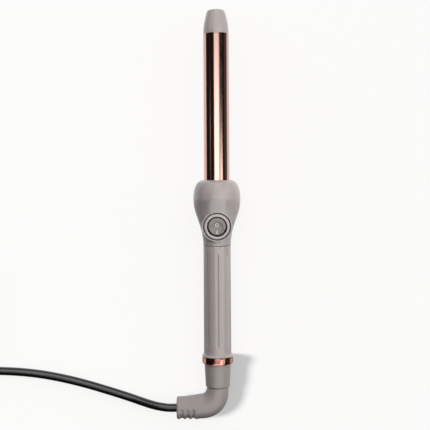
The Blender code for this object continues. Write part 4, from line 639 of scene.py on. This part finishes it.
def grip_grid():
    """Turned outline whose radius is cut back by each flute.

    A flute is a round bar beside the tube, capped by balls: its near side lies at
    D cos(a) - sqrt(R^2 - D^2 sin(a)^2 - z^2), for a the angle from the flute and z past its end.
    """
    seat_radius = BAND_RADIUS - BAND_WALL - SEAT_GAP
    outline = rounded((
        (GRIP_BORE, GRIP_SEAT, 0), (seat_radius, GRIP_SEAT, 0), (seat_radius, GRIP_FOOT, 0),
        (FLANGE_RADIUS, GRIP_FOOT, 0.25 * MM), (FLANGE_RADIUS, GRIP_FOOT + 0.6 * MM, 0.3 * MM),
        (GRIP_RADIUS + 0.4 * MM, GRIP_FOOT + 1.9 * MM, 0.7 * MM),
        (GRIP_RADIUS, GRIP_FOOT + 3.8 * MM, 1.0 * MM), (GRIP_RADIUS, GRIP_TOP, 0.5 * MM),
        (GRIP_BORE, GRIP_TOP, 0)))
    split = np.argmax(outline[:, 1] > GRIP_TOP - 2 * MM)
    # More rows where the flutes begin and end
    shares = (np.linspace(0, 1, GRIP_ROWS) - 0.5) * 2
    eased = 0.5 + 0.5 * np.sign(shares) * (1 - (1 - np.abs(shares)) ** 1.6)
    low, high = outline[split - 1, 1], outline[split, 1]
    straight = np.column_stack((np.full(GRIP_ROWS, GRIP_RADIUS), low + (high - low) * eased))
    outline = np.vstack((outline[:split], straight[1:-1], outline[split:]))
    angle = np.linspace(0, 2 * np.pi, GRIP_COLUMNS, endpoint=False)[None, :]
    radius, height = outline[:, :1] + 0 * angle, outline[:, 1:] + 0 * angle
    pitch = 2 * np.pi / FLUTE_COUNT
    off = (angle + np.pi / 2 + pitch / 2) % pitch - pitch / 2
    past = np.maximum(np.maximum(FLUTE_LOW - height, height - FLUTE_HIGH), 0)
    centre = GRIP_RADIUS - FLUTE_DEPTH + FLUTE_RADIUS
    room = FLUTE_RADIUS ** 2 - (centre * np.sin(off)) ** 2 - past ** 2
    cut = centre * np.cos(off) - np.sqrt(np.maximum(room, 0))
    outside = radius > (GRIP_RADIUS + GRIP_BORE) / 2
    cut = np.where(room > 0, cut, radius + 1 * MM)
    radius = np.where(outside, soft_min(radius, cut, FLUTE_EDGE), radius)
    return on_wand(radius * np.cos(angle), radius * np.sin(angle), height)


# ABS, moulded, with a sprayed soft-touch coat: a warm grey that scatters light like fine rubber
soft_touch = velvety("abs_soft_touch_coated", "#AEA5A2", "#B4ABA8", 0.9)
grip = smooth_mesh("grip_moulding", grip_grid(), soft_touch, "wand", wrap_rows=True, sharp_deg=50)
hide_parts("grip_tube")


# Bulb housing
# Two moulded shells, parted along the sides, swell from the grip to the barrel's mouth. The front
# one is pressed in below a ridge, as a thumb rest, and carries the switch on a boss with a thin lip.
BULB_FOOT = GRIP_TOP + SEAT_GAP
BULB_HEIGHT = 65 * MM
BULB_TOP = BULB_FOOT + BULB_HEIGHT
BULB_RADIUS = 23.5 * MM
MOUTH_RADIUS = 13.0 * MM
SHELL_WALL = 1.6 * MM
PARTING_GAP = 0.3 * MM
SHELL_EDGE_ROUND = 0.15 * MM
# Shares of the height, and of the way from the grip's radius to the bulb's
bulb_shares = np.array((
    (0.0, 0.0), (0.08, 0.02), (0.14, 0.075), (0.20, 0.135), (0.26, 0.24), (0.325, 0.37),
    (0.39, 0.52), (0.455, 0.665), (0.53, 0.83), (0.58, 0.91), (0.635, 0.97), (0.70, 1.0),
    (0.76, 0.99), (0.815, 0.955), (0.865, 0.88), (0.905, 0.785), (0.94, 0.665), (0.97, 0.50),
    (1.0, 0.14)))
bulb_line = through(np.column_stack((GRIP_RADIUS + (BULB_RADIUS - GRIP_RADIUS) * bulb_shares[:, 1],
                                     BULB_FOOT + BULB_HEIGHT * bulb_shares[:, 0])), 10)
bulb_line[:, 1] = np.minimum(bulb_line[:, 1], BULB_TOP)
# The foot and the mouth have small rounds
bulb_line = np.vstack(((GRIP_RADIUS - 0.35 * MM, BULB_FOOT),
                       (GRIP_RADIUS - 0.1 * MM, BULB_FOOT + 0.1 * MM),
                       (GRIP_RADIUS, BULB_FOOT + 0.35 * MM), bulb_line[4:],
                       (MOUTH_RADIUS + 0.3 * MM, BULB_TOP), (MOUTH_RADIUS, BULB_TOP - 0.3 * MM)))

SWITCH_LEAN = math.radians(6.1)
SWITCH_HEIGHT = BULB_FOOT + 0.3 * BULB_HEIGHT
SWITCH_STAND = 17.85 * MM
LIP_RADIUS = 15 * MM
BOSS_SLOPE = 0.34               # the boss narrows by this much for each unit of depth
HOLE_INSET = 0.75 * MM
REST_SINK = 0.8 * MM
REST_RIDGE = BULB_FOOT + 0.7 * BULB_HEIGHT
REST_SLOPE = math.radians(23.6)
REST_BLEND = 1.2 * MM
RIDGE_BLEND = 0.7 * MM


def seen_from_switch(back, along):
    """Up and out of the switch's plane, for points given in the wand's own directions."""
    up = -math.sin(SWITCH_LEAN) * (back + SWITCH_STAND) + math.cos(SWITCH_LEAN) * (along - SWITCH_HEIGHT)
    out = -math.cos(SWITCH_LEAN) * (back + SWITCH_STAND) - math.sin(SWITCH_LEAN) * (along - SWITCH_HEIGHT)
    return up, out


def rest_depth(line_radius, along):
    """Depth of the front face at each height, with soft corners.

    It is the greater of the seat beside the switch and a slope that climbs to the ridge, but never
    more than the bulb's own radius.
    """
    seat = SWITCH_STAND - REST_SINK + math.tan(SWITCH_LEAN) * (along - SWITCH_HEIGHT)
    slope = BULB_RADIUS - math.tan(REST_SLOPE) * (REST_RIDGE - along)
    return soft_min(line_radius, -soft_min(-seat, -slope, REST_BLEND), RIDGE_BLEND)


parting_edge = math.asin(PARTING_GAP / 2 / GRIP_RADIUS)


def shell_grid(columns):
    """Front shell in sections, each half an ellipse as wide as the bulb and as deep as the thumb rest.

    For half width w and depth d, the radius at angle a from the front is
    w / hypot(sin(a), cos(a) w / d).
    """
    angle = np.linspace(parting_edge - np.pi / 2, np.pi / 2 - parting_edge, columns)[None, :]
    line_radius, along = bulb_line[:, :1] + 0 * angle, bulb_line[:, 1:] + 0 * angle
    flattened = line_radius / rest_depth(line_radius, along)
    return line_radius / np.hypot(np.sin(angle), np.cos(angle) * flattened), angle, along


def shell_piece(name, radius, angle, along, keep, node):
    """Sheet over the kept cells, thickened inwards."""
    points = on_wand(radius * np.sin(angle), -radius * np.cos(angle), along).reshape(-1, 3)
    rows, columns = along.shape
    row, column = np.nonzero(keep)
    first = row * columns + column
    faces = np.column_stack((first, first + 1, first + columns + 1, first + columns))
    mesh = bpy.data.meshes.new(name)
    mesh.from_pydata(points, [], faces.tolist())
    loose = np.setdiff1d(np.arange(len(points)), faces.ravel())
    work = bmesh.new()
    work.from_mesh(mesh)
    work.verts.ensure_lookup_table()
    bmesh.ops.delete(work, geom=[work.verts[k] for k in loose], context="VERTS")
    work.to_mesh(mesh)
    work.free()
    mesh.shade_smooth()
    mesh.materials.append(soft_touch)
    piece = bpy.data.objects.new(name, mesh)
    bpy.context.scene.collection.objects.link(piece)
    wall = piece.modifiers.new("wall", "SOLIDIFY")
    wall.thickness = SHELL_WALL
    wall.offset = -1
    wall.use_even_offset = False
    crease = piece.modifiers.new("edges", "BEVEL")
    crease.width = SHELL_EDGE_ROUND
    crease.segments = 2
    crease.limit_method = "ANGLE"
    crease.angle_limit = math.radians(60)
    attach(piece, "wand")
    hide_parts(node)


front_radius, front_angle, front_along = shell_grid(200)
up, out = seen_from_switch(-front_radius * np.cos(front_angle), front_along)
from_switch = np.hypot(front_radius * np.sin(front_angle), up)
# The hole's edge runs inside the boss's wall, which hides it
open_corner = from_switch < LIP_RADIUS + BOSS_SLOPE * out - HOLE_INSET
open_cell = open_corner[:-1, :-1] | open_corner[1:, :-1] | open_corner[:-1, 1:] | open_corner[1:, 1:]
shell_piece("bulb_front_shell", front_radius, front_angle, front_along, ~open_cell, "bulb_front")
rear_angle = np.linspace(np.pi / 2 + parting_edge, 3 * np.pi / 2 - parting_edge, 120)[None, :]
rear_radius, rear_along = bulb_line[:, :1] + 0 * rear_angle, bulb_line[:, 1:] + 0 * rear_angle
shell_piece("bulb_rear_shell", rear_radius, rear_angle, rear_along,
            np.ones((len(bulb_line) - 1, rear_angle.size - 1), bool), "bulb_rear")


# Switch well
# A conical boss, the lip on it, the recess behind the lip and the bore for the switch all belong to
# the front shell's moulding.
WELL_BORE = 10.8 * MM
RECESS_RADIUS = 12.9 * MM
RECESS_DEPTH = 2.3 * MM
BEZEL_SEAT = 1.3 * MM
LIP_ROOT = 5 * MM
BOSS_DEPTH = 9.5 * MM
BOSS_EDGE = 1.75 * MM           # under the lip, which hides this edge


def on_switch(right, up, out):
    """Place points given across, up and out of the switch's plane."""
    back = -SWITCH_STAND - math.sin(SWITCH_LEAN) * up - math.cos(SWITCH_LEAN) * out
    along = SWITCH_HEIGHT + math.cos(SWITCH_LEAN) * up - math.sin(SWITCH_LEAN) * out
    return on_wand(right, back, along)


boss_outline = rounded((
    (WELL_BORE, -BOSS_DEPTH, 0), (LIP_RADIUS - BOSS_SLOPE * BOSS_DEPTH, -BOSS_DEPTH, 0),
    (LIP_RADIUS - BOSS_SLOPE * BOSS_EDGE, -BOSS_EDGE, 0), (12.8 * MM, -3 * MM, 0),
    (WELL_BORE, -4 * MM, 0)), 3)
switch_boss = turned("switch_boss", boss_outline, soft_touch, place=on_switch)
lip_outline = rounded((
    (WELL_BORE, -LIP_ROOT, 0), (12.0 * MM, -LIP_ROOT, 0), (RECESS_RADIUS, -4.5 * MM, 0),
    (14.25 * MM, -RECESS_DEPTH, 0.1 * MM), (LIP_RADIUS, 0, 0.45 * MM), (13.95 * MM, 0, 0.3 * MM),
    (13.7 * MM, -RECESS_DEPTH, 0.2 * MM), (RECESS_RADIUS, -RECESS_DEPTH, 0.2 * MM),
    (RECESS_RADIUS, -BEZEL_SEAT, 0.1 * MM), (WELL_BORE, -BEZEL_SEAT, 0.1 * MM)))
# The same ABS, glossier than the shell and painted paler than it: a painted highlight on the lip and on the
# bezel's crown
ring_abs_painted_highlight = velvety("abs_ring_painted_highlight", "#C4BBB8", "#CAC1BE", 1.0)
switch_lip = turned("switch_lip", lip_outline, ring_abs_painted_highlight, place=on_switch)
for piece in (switch_boss, switch_lip):
    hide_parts("bulb_front")


# Switch bezel
# A round-crowned ring snapped into the recess round the rocker.
BEZEL_BORE = 9.95 * MM
BEZEL_RADIUS = 12.5 * MM
BEZEL_FOOT = -1 * MM
BEZEL_CROWN = 0.5 * MM          # above the switch's plane
bezel_outline = rounded((
    (BEZEL_BORE, BEZEL_FOOT, 0.1 * MM), (BEZEL_RADIUS, BEZEL_FOOT, 0.1 * MM),
    (BEZEL_RADIUS, BEZEL_CROWN, 1.1 * MM), (BEZEL_BORE, BEZEL_CROWN, 0.6 * MM)), 9)
# The bezel takes the ring finish, whose pale tone is a painted highlight
bezel = turned("switch_bezel_ring", bezel_outline, ring_abs_painted_highlight, place=on_switch)
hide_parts("switch_bezel")

# Black nylon, moulded: the switch's cup, seen only as the dark gap round the rocker
black_nylon, tree, shader = new_finish("nylon_black_moulded", base_color=from_hex("#121213"))
vary_roughness(tree, shader, speckle(tree, 2 * MM), 0.5, 0.65)
dress(black_nylon, "black_nylon", "switch_cup")

# Zinc with a black passivation, kept dark as painted shade, so that the pin doesn't glint in the dark gap
# round the rocker
black_zinc_painted_shade, tree, shader = new_finish("steel_zinc_black_painted_shade", metallic=1.0,
                                      base_color=from_hex("#2A2A2C"))
vary_roughness(tree, shader, speckle(tree, 1.5 * MM), 0.4, 0.55)
dress(black_zinc_painted_shade, "zinc_plated_steel", "rocker_pin")

# A dark ring in the recess round the bezel is painted shade for the groove between the lip and the bezel:
# matt, and darker than the rings beside it
SHADE_RING_BORE = 12.6 * MM
SHADE_RING_FOOT = -2.2 * MM
shade_ring_outline = rounded((
    (SHADE_RING_BORE, SHADE_RING_FOOT, 0), (13.75 * MM, SHADE_RING_FOOT, 0), (13.85 * MM, BEZEL_FOOT, 0.3 * MM),
    (SHADE_RING_BORE, BEZEL_FOOT, 0.3 * MM)))
shade_ring_finish, tree, shader = new_finish("matt_painted_shade", roughness=0.6)
vary_colour(tree, shader, 0.8 * MM, "#554D4A", "#605855")
shade_ring = turned("switch_recess_painted_shade", shade_ring_outline, shade_ring_finish, place=on_switch)


# Rocker button
# Moulded ABS with a dished face, tipped so that its O side is down. Under it a hub turns on the
# pin and ends in a rounded nose that tips the contact arm.
PIVOT_DEPTH = 3.6 * MM
BUTTON_TILT = math.radians(-6)
BUTTON_RADIUS = 8.5 * MM
BUTTON_TOP = 4.3 * MM           # above the pivot
BUTTON_FOOT = 0.7 * MM
BUTTON_ROUND = 0.5 * MM
DISH_RADIUS = 6.3 * MM
DISH_DROP = 1.5 * MM            # the dish lies this much nearer the I side
DISH_DEPTH = 0.95 * MM


def on_rocker(right, up, out):
    """Place points given from the rocker's pivot, before it was tipped."""
    tipped_up = up * math.cos(BUTTON_TILT) - out * math.sin(BUTTON_TILT)
    tipped_out = up * math.sin(BUTTON_TILT) + out * math.cos(BUTTON_TILT)
    return on_switch(right, tipped_up, tipped_out - PIVOT_DEPTH)


def button_face(right, up):
    """Height of the button's face: flat outside a round dish, which is a cap with a soft rim."""
    reach = np.hypot(right, up + DISH_DROP) / DISH_RADIUS
    rim = np.clip((1 - reach) / 0.12, 0, 1)
    return BUTTON_TOP - DISH_DEPTH * (0.45 * rim ** 2 * (3 - 2 * rim) + 0.55 * np.clip(1 - reach ** 2, 0, 1))


face_ring = np.concatenate((np.linspace(0, 0.9, 40), np.linspace(0.91, 1, 8)))
face_ring *= BUTTON_RADIUS - BUTTON_ROUND
turn = np.linspace(0, 2 * np.pi, 128, endpoint=False)[None, :]
right, up = face_ring[:, None] * np.cos(turn), face_ring[:, None] * np.sin(turn)
face_grid = np.stack((right, up, button_face(right, up)), axis=-1)
bend = np.linspace(0, np.pi / 2, 6)[1:, None]
button_height = BUTTON_TOP - BUTTON_FOOT
side_radius = np.vstack((BUTTON_RADIUS - BUTTON_ROUND * (1 - np.sin(bend)),
                         [[BUTTON_RADIUS], [BUTTON_RADIUS], [0]]))
side_drop = np.vstack((BUTTON_ROUND * (1 - np.cos(bend)),
                       [[BUTTON_ROUND * 1.6], [button_height], [button_height]]))
side_grid = np.stack(np.broadcast_arrays(side_radius * np.cos(turn), side_radius * np.sin(turn),
                                         BUTTON_TOP - side_drop), axis=-1)
button_grid = on_rocker(*np.moveaxis(np.concatenate((face_grid, side_grid)), -1, 0))
# ABS, moulded with an eroded face that looks darker than the coat round it
eroded_abs = velvety("abs_eroded_satin", "#857C79", "#908784", 0.4)
button = smooth_mesh("rocker_button_moulding", button_grid, eroded_abs, "rocker")

# Half the hub's section, from the button down to the middle of the nose, and its mirror image
HUB_HALF_WIDTH = 6.5 * MM
hub_side = np.array(((-4.2 * MM, BUTTON_FOOT + 1.3 * MM, 0), (-4.2 * MM, BUTTON_FOOT, 0),
                     (-2.1 * MM, 0, 1.0 * MM), (-0.8 * MM, -1.7 * MM, 0.6 * MM),
                     (-0.8 * MM, -2.9 * MM, 0.7 * MM)))
hub_outline = rounded(np.vstack((hub_side, hub_side[::-1] * (-1, 1, 1))))
# Each end is closed by the section shrunk to a point
hub_shrink = np.array((0, 1, 1, 0))[:, None]
hub_up = hub_outline[:, 0] * hub_shrink
hub_out = BUTTON_FOOT + (hub_outline[:, 1] - BUTTON_FOOT) * hub_shrink
hub_across = np.array((-1, -1, 1, 1))[:, None] * np.full(len(hub_outline), HUB_HALF_WIDTH)
hub = smooth_mesh("rocker_hub", on_rocker(hub_across, hub_up, hub_out), eroded_abs, "rocker")
for piece in (button, hub):
    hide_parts("rocker_button")

# Pad-printed marks, a pale ink film over the coat
pad_ink, tree, shader = new_finish("ink_pad_printed", roughness=0.55)
vary_colour(tree, shader, 0.6 * MM, "#D9D1CE", "#CFC7C4")
INK_FILM = 0.04 * MM
MARK_LIFT = 1.3 * MM            # the O's centre above the button's middle
MARK_DROP = 5.8 * MM            # the I's centre below it
O_RADIUS = 1.9 * MM
O_BORE = 1.1 * MM
I_HALF_WIDTH = 0.6 * MM
I_HALF_LENGTH = 1.75 * MM


def printed(name, inner, outer):
    """Thin film between two loops of (across, up) points, laid on the button's face."""
    loops = np.stack((inner, inner, outer, outer))
    film = np.array((-0.5, 1, 1, -0.5))[:, None] * INK_FILM
    right, up = loops[..., 0], loops[..., 1]
    grid = on_rocker(right, up, button_face(right, up) + film)
    piece = smooth_mesh(name, grid, pad_ink, "rocker", wrap_rows=True)


circle = np.column_stack((np.cos(turn[0]), np.sin(turn[0])))
printed("mark_o", circle * O_BORE + (0, MARK_LIFT), circle * O_RADIUS + (0, MARK_LIFT))
# The I is a superellipse of power 5, and its inner loop is squeezed onto its middle line
squared = np.sign(circle) * np.abs(circle) ** 0.4
bar = squared * (I_HALF_WIDTH, I_HALF_LENGTH) - (0, MARK_DROP)
printed("mark_i", bar * (0.001, 1), bar)


# Barrel
# A drawn aluminium tube, plated rose gold and polished. It stands on the collar's ledge inside
# the bulb, and two screws through tube and collar hold it.
BARREL_RADIUS = 12.7 * MM
BARREL_BORE = 11.5 * MM
BARREL_FOOT = BULB_TOP - 15.6 * MM
BARREL_TOP = BULB_TOP + 144.1 * MM
barrel_outline = rounded((
    (BARREL_BORE, BARREL_FOOT, 0.2 * MM), (BARREL_RADIUS, BARREL_FOOT, 0.2 * MM),
    (BARREL_RADIUS, BARREL_TOP, 0.35 * MM), (BARREL_BORE, BARREL_TOP, 0.2 * MM)))
# Rose-gold plating, polished before and after: a mirror with faint lengthwise polishing lines
rose_gold, tree, shader = new_finish("aluminium_rose_gold_plated", metallic=1.0,
                                     base_color=from_hex("#EDBFB1"))
vary_roughness(tree, shader, fine_lines(tree, (1.4, 0.009, 1.4)), 0.09, 0.15)
barrel = turned("barrel_plated", barrel_outline, rose_gold, sides=160)
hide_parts("barrel_tube")

# Phenolic, moulded: a dark brown resin that stands the heat, dull with its filler
phenolic, tree, shader = new_finish("phenolic_moulded", base_color=from_hex("#553B2B"))
vary_roughness(tree, shader, speckle(tree, 1 * MM), 0.5, 0.7)
dress(phenolic, "brown_phenolic", "barrel_collar")


# Heater
# Two extruded aluminium half rounds carry the heat to the tube. A flat ceramic heater in amber film
# lies between them, and a wave spring presses them outwards.

# Aluminium, extruded, left bare: pale, with the die's lines along it
extruded, tree, shader = new_finish("aluminium_extruded", base_color=from_hex("#D5D6D8"), metallic=1.0)
vary_roughness(tree, shader, fine_lines(tree, (1.5, 0.02, 1.5)), 0.3, 0.5)
dress(extruded, "extruded_aluminium", "heat_block_front", "heat_block_rear")

# Polyimide film, wrapped: amber and glossy
amber_film, tree, shader = new_finish("polyimide_film_wrapped", coat_weight=0.6,
                                      base_color=from_hex("#B0762A"))
vary_roughness(tree, shader, speckle(tree, 3 * MM), 0.25, 0.4)
dress(amber_film, "ceramic_and_film", "ptc_heater")

# Leads: tinned wire in woven glass sleeving, off-white and slightly fuzzy
glass_sleeve, tree, shader = new_finish("glass_sleeving_woven", roughness=0.85,
                                        base_color=from_hex("#DAD7CE"))
BRAID_PITCH = 0.45 * MM
place = add_node(tree, "ShaderNodeTexCoord")
braid = add_node(tree, "ShaderNodeTexWave", {"Vector": place.outputs["Object"], "Distortion": 2.0,
                                             "Scale": WAVE_LENGTH / BRAID_PITCH}, bands_direction="DIAGONAL")
roughen(tree, shader, braid.outputs["Fac"], 0.1 * MM)
dress(glass_sleeve, "glass_sleeved_wire", "lead_feed", "lead_switched", "lead_heater", "lead_neutral")


# Cool tip
# Heat-resistant moulding pushed into the tube's end, tapering to a small flat face for a fingertip.
TIP_FOOT = BARREL_TOP + 0.3 * MM
TIP_LENGTH = 23.1 * MM
TIP_RADIUS = 12.55 * MM
TIP_TOP = TIP_FOOT + TIP_LENGTH
TIP_FLAT = 5.9 * MM
SLEEVE_FOOT = TIP_FOOT - 8 * MM         # the part inside the tube
SLEEVE_RADIUS = 11.2 * MM
SLEEVE_BORE = 8.6 * MM
HOLLOW_TOP = TIP_FOOT + 13.9 * MM
HOLLOW_TOP_RADIUS = 4.3 * MM
# Shares of the length and of the radius
tip_shares = np.array(((0.0, 1.0), (0.22, 0.985), (0.39, 0.948), (0.56, 0.886), (0.73, 0.812),
                       (0.88, 0.736), (0.95, 0.68), (0.985, 0.61), (1.0, 0.53)))
tip_side = through(tip_shares[:, ::-1] * (TIP_RADIUS, TIP_LENGTH) + (0, TIP_FOOT), 10)
tip_foot = rounded(((SLEEVE_BORE, SLEEVE_FOOT, 0), (SLEEVE_RADIUS, SLEEVE_FOOT, 0.3 * MM),
                    (SLEEVE_RADIUS, TIP_FOOT, 0), (TIP_RADIUS, TIP_FOOT, 0.35 * MM)))[3:-2]
tip_outline = np.vstack(((0, HOLLOW_TOP), (HOLLOW_TOP_RADIUS, HOLLOW_TOP), (SLEEVE_BORE, SLEEVE_FOOT),
                         tip_foot, tip_side[3:], (TIP_FLAT, TIP_TOP), (0, TIP_TOP)))
cool_tip = turned("cool_tip_moulding", tip_outline, soft_touch)
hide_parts("cool_tip")


# Table and light
# A plain white table. A softbox on the right lights the wand, a weak fill reaches the tip from the
# left, and two white cards give sheen. The table has a lamp of its own and looks evenly white.
TABLE_REACH = 4.0
TABLE_DROP = 0.05 * MM
TABLE_GLOW = 0.415
table_corners = np.array(((-1, -1, 0), (1, -1, 0), (1, 1, 0), (-1, 1, 0))) * TABLE_REACH
table_corners[:, 2] = -TABLE_DROP
table_mesh = bpy.data.meshes.new("table_top")
table_mesh.from_pydata(table_corners.tolist(), [], [(0, 1, 2, 3)])
table_top = bpy.data.objects.new("table_top", table_mesh)
bpy.context.scene.collection.objects.link(table_top)
table_top.visible_glossy = False
# Laminate, matt. The camera sees it paler than it is to the light that it throws back, and faintly
# glowing, so that it looks evenly white
laminate, tree, shader = new_finish("table_laminate_matte", roughness=0.8, emission_color=(1, 1, 1, 1))
seen = add_node(tree, "ShaderNodeLightPath")
shade = add_node(tree, "ShaderNodeMixRGB", {"Fac": seen.outputs["Is Camera Ray"],
                                            "Color1": from_hex("#7A7978"), "Color2": from_hex("#B4B3B2")})
glow = add_node(tree, "ShaderNodeMath", {0: seen.outputs["Is Camera Ray"], 1: TABLE_GLOW},
                operation="MULTIPLY")
tree.links.new(shade.outputs["Color"], shader.inputs["Base Color"])
tree.links.new(glow.outputs["Value"], shader.inputs["Emission Strength"])
table_mesh.materials.append(laminate)


def listed(name, pieces, state="INCLUDE"):
    """Collection that a lamp's light is linked to, or kept from."""
    pieces_listed = bpy.data.collections.new(name)
    for piece in pieces:
        pieces_listed.objects.link(piece)
    for entry in pieces_listed.collection_objects:
        entry.light_linking.link_state = state
    return pieces_listed


def area_lamp(name, place, aim, size, energy, pieces, state="EXCLUDE"):
    """Rectangular lamp at `place`, facing `aim`, that lights all but the given pieces, or only them."""
    data = bpy.data.lights.new(name, "AREA")
    data.shape = "RECTANGLE"
    data.size, data.size_y = size
    data.energy = energy
    lamp = bpy.data.objects.new(name, data)
    lamp.location = place
    lamp.rotation_euler = (Vector(place) - Vector(aim)).to_track_quat("Z", "Y").to_euler()
    lamp.visible_camera = False
    bpy.context.scene.collection.objects.link(lamp)
    lamp.light_linking.receiver_collection = listed(f"{name}_list", pieces, state)
    return lamp


# The softbox and the fill show as no highlight, because what shines sees the panels further down
softbox = area_lamp("overhead_softbox", place=(0.53, 0.22, 0.61), aim=(0, 0, 0), size=(0.35, 0.6),
                    energy=5.1, pieces=(table_top,))
tip_fill = area_lamp("tip_side_fill", place=(-0.25, 0.36, 0.20), aim=(0, 0.12, 0), size=(0.25, 0.25),
                     energy=0.37, pieces=(table_top,))
softbox.visible_glossy = tip_fill.visible_glossy = False

# Two white cards that only show as sheen: one on the thumb rest, one along the cord's upper side
rest_card = area_lamp("thumb_rest_card", place=(0.07, -0.74, 0.70), aim=(0.01, 0.01, 0.04),
                      size=(1.3, 0.85), energy=6.0, pieces=(table_top, mains_cord))
cord_card = area_lamp("cord_card", place=(-0.13, 0.46, 0.77), aim=(-0.06, -0.18, 0.01),
                      size=(1.0, 0.45), energy=2.8, pieces=(mains_cord,), state="INCLUDE")
rest_card.visible_diffuse = cord_card.visible_diffuse = False

# The table's lamp shines from the left, and only the tail stands in its light
TABLE_LAMP_ENERGY = 3.78
TABLE_LAMP_BREADTH_DEG = 14
TABLE_LAMP_SIDE = (-0.97, 0.12, 1.0)
table_lamp_data = bpy.data.lights.new("table_lamp", "SUN")
table_lamp_data.energy = TABLE_LAMP_ENERGY
table_lamp_data.angle = math.radians(TABLE_LAMP_BREADTH_DEG)
table_lamp = bpy.data.objects.new("table_lamp", table_lamp_data)
table_lamp.rotation_euler = Vector(TABLE_LAMP_SIDE).to_track_quat("Z", "Y").to_euler()
bpy.context.scene.collection.objects.link(table_lamp)
table_lamp.light_linking.receiver_collection = listed("lit_by_the_table_lamp", (table_top,))
table_lamp.light_linking.blocker_collection = listed("in_the_table_lamps_way", (elbow, tail_cap, trim_band))

world = bpy.data.worlds.new("studio")
world.use_nodes = True
bpy.context.scene.world = world
tree = world.node_tree
background = tree.nodes["Background"]
direction = add_node(tree, "ShaderNodeTexCoord")
axes = add_node(tree, "ShaderNodeSeparateXYZ", {"Vector": direction.outputs["Generated"]})
roll = add_node(tree, "ShaderNodeMath", {0: axes.outputs["X"], 1: axes.outputs["Z"]}, operation="ARCTAN2")
pitch = add_node(tree, "ShaderNodeMath", {0: axes.outputs["Y"]}, operation="ARCSINE")


def by_angle(angle, stops):
    """Brightness along an angle, from (degrees, value) stops."""
    share = add_node(tree, "ShaderNodeMapRange", {
        "Value": angle.outputs["Value"], "From Min": -math.pi, "From Max": math.pi})
    ramp = add_node(tree, "ShaderNodeValToRGB", {"Fac": share.outputs["Result"]})
    elements = ramp.color_ramp.elements
    for place, (degrees, value) in zip((elements[0], elements[1]), (stops[0], stops[-1])):
        place.position = 0.5 + degrees / 360
        place.color = (value, value, value, 1)
    for degrees, value in stops[1:-1]:
        place = elements.new(0.5 + degrees / 360)
        place.color = (value, value, value, 1)
    return ramp.outputs["Color"]


# What shines sees the panels of a dark studio, each given by its stops round the wand, from the left
# to the right, and along it, from the tail to the tip
PANEL_LIGHT = 2.05
DARK_FLAGS = 0.005
panels = (
    # The long strip overhead
    (((-21.5, 0.0), (-15.5, 1.0), (19, 1.0), (31, 0.0)),
     ((-22, 0.02), (-16, 0.17), (-13.5, 0.45), (-3, 1.0), (0.5, 0.97), (2, 0.82), (3.5, 0.72),
      (5.5, 0.5), (7, 0.38), (80, 0.3))),
    # A shorter one on its right
    (((31, 0.0), (35, 1.0), (53, 1.0), (58, 0.0)),
     ((-22, 0.03), (-16, 0.12), (-13, 0.7), (-9, 0.93), (-2.9, 0.93), (-2.3, 0.83), (-1.5, 0.6),
      (-0.45, 0.36), (0.6, 0.1), (3, 0.0))),
    # A faint one on the left
    (((-63, 0.0), (-60, 1.0), (-54, 1.0), (-51, 0.0)),
     ((-2.5, 0.0), (-1.5, 0.04), (-0.45, 0.09), (0.6, 0.13), (1.64, 0.08), (2.67, 0.045),
      (3.7, 0.01), (6, 0.0))),
    # Pale walls, which the rims see: bright beside the barrel and the band, dim beside the grip
    (((-112, 0.38), (-106, 0.38), (-100, 0.0), (74, 0.0), (78, 0.025), (104, 0.025), (114, 0.38),
      (150, 0.38)),
     ((-55, 0.03), (-26, 0.3), (-13.6, 0.3), (-12.2, 1.2), (-11.3, 1.2), (-10.3, 0.3), (-7, 0.3),
      (-3.5, 1.0), (80, 1.0))))
seen_light = DARK_FLAGS
for across, along in panels:
    panel = add_node(tree, "ShaderNodeMath", {0: by_angle(roll, across), 1: by_angle(pitch, along),
                                              2: seen_light}, operation="MULTIPLY_ADD")
    seen_light = panel.outputs["Value"]
mirrored = add_node(tree, "ShaderNodeMath", {0: seen_light, 1: PANEL_LIGHT}, operation="MULTIPLY")
ray = add_node(tree, "ShaderNodeLightPath")
# All else is lit by a sky that is brighter beyond the tip, and the viewer sees plain white
SKY_LIGHT = 0.335
TIP_SIDE_LIGHT = 0.3
sky = add_node(tree, "ShaderNodeMath", {0: axes.outputs["Y"], 1: TIP_SIDE_LIGHT, 2: SKY_LIGHT},
               operation="MULTIPLY_ADD")
lit = add_node(tree, "ShaderNodeMix", {0: ray.outputs["Is Glossy Ray"], 2: sky.outputs["Value"],
                                       3: mirrored.outputs["Value"]})
shown = add_node(tree, "ShaderNodeMix", {0: ray.outputs["Is Camera Ray"], 2: lit.outputs[0], 3: 1.0})
tree.links.new(shown.outputs[0], background.inputs["Strength"])
background.inputs["Color"].default_value = (1, 1, 1, 1)

bpy.context.scene.view_settings.view_transform = "Standard"
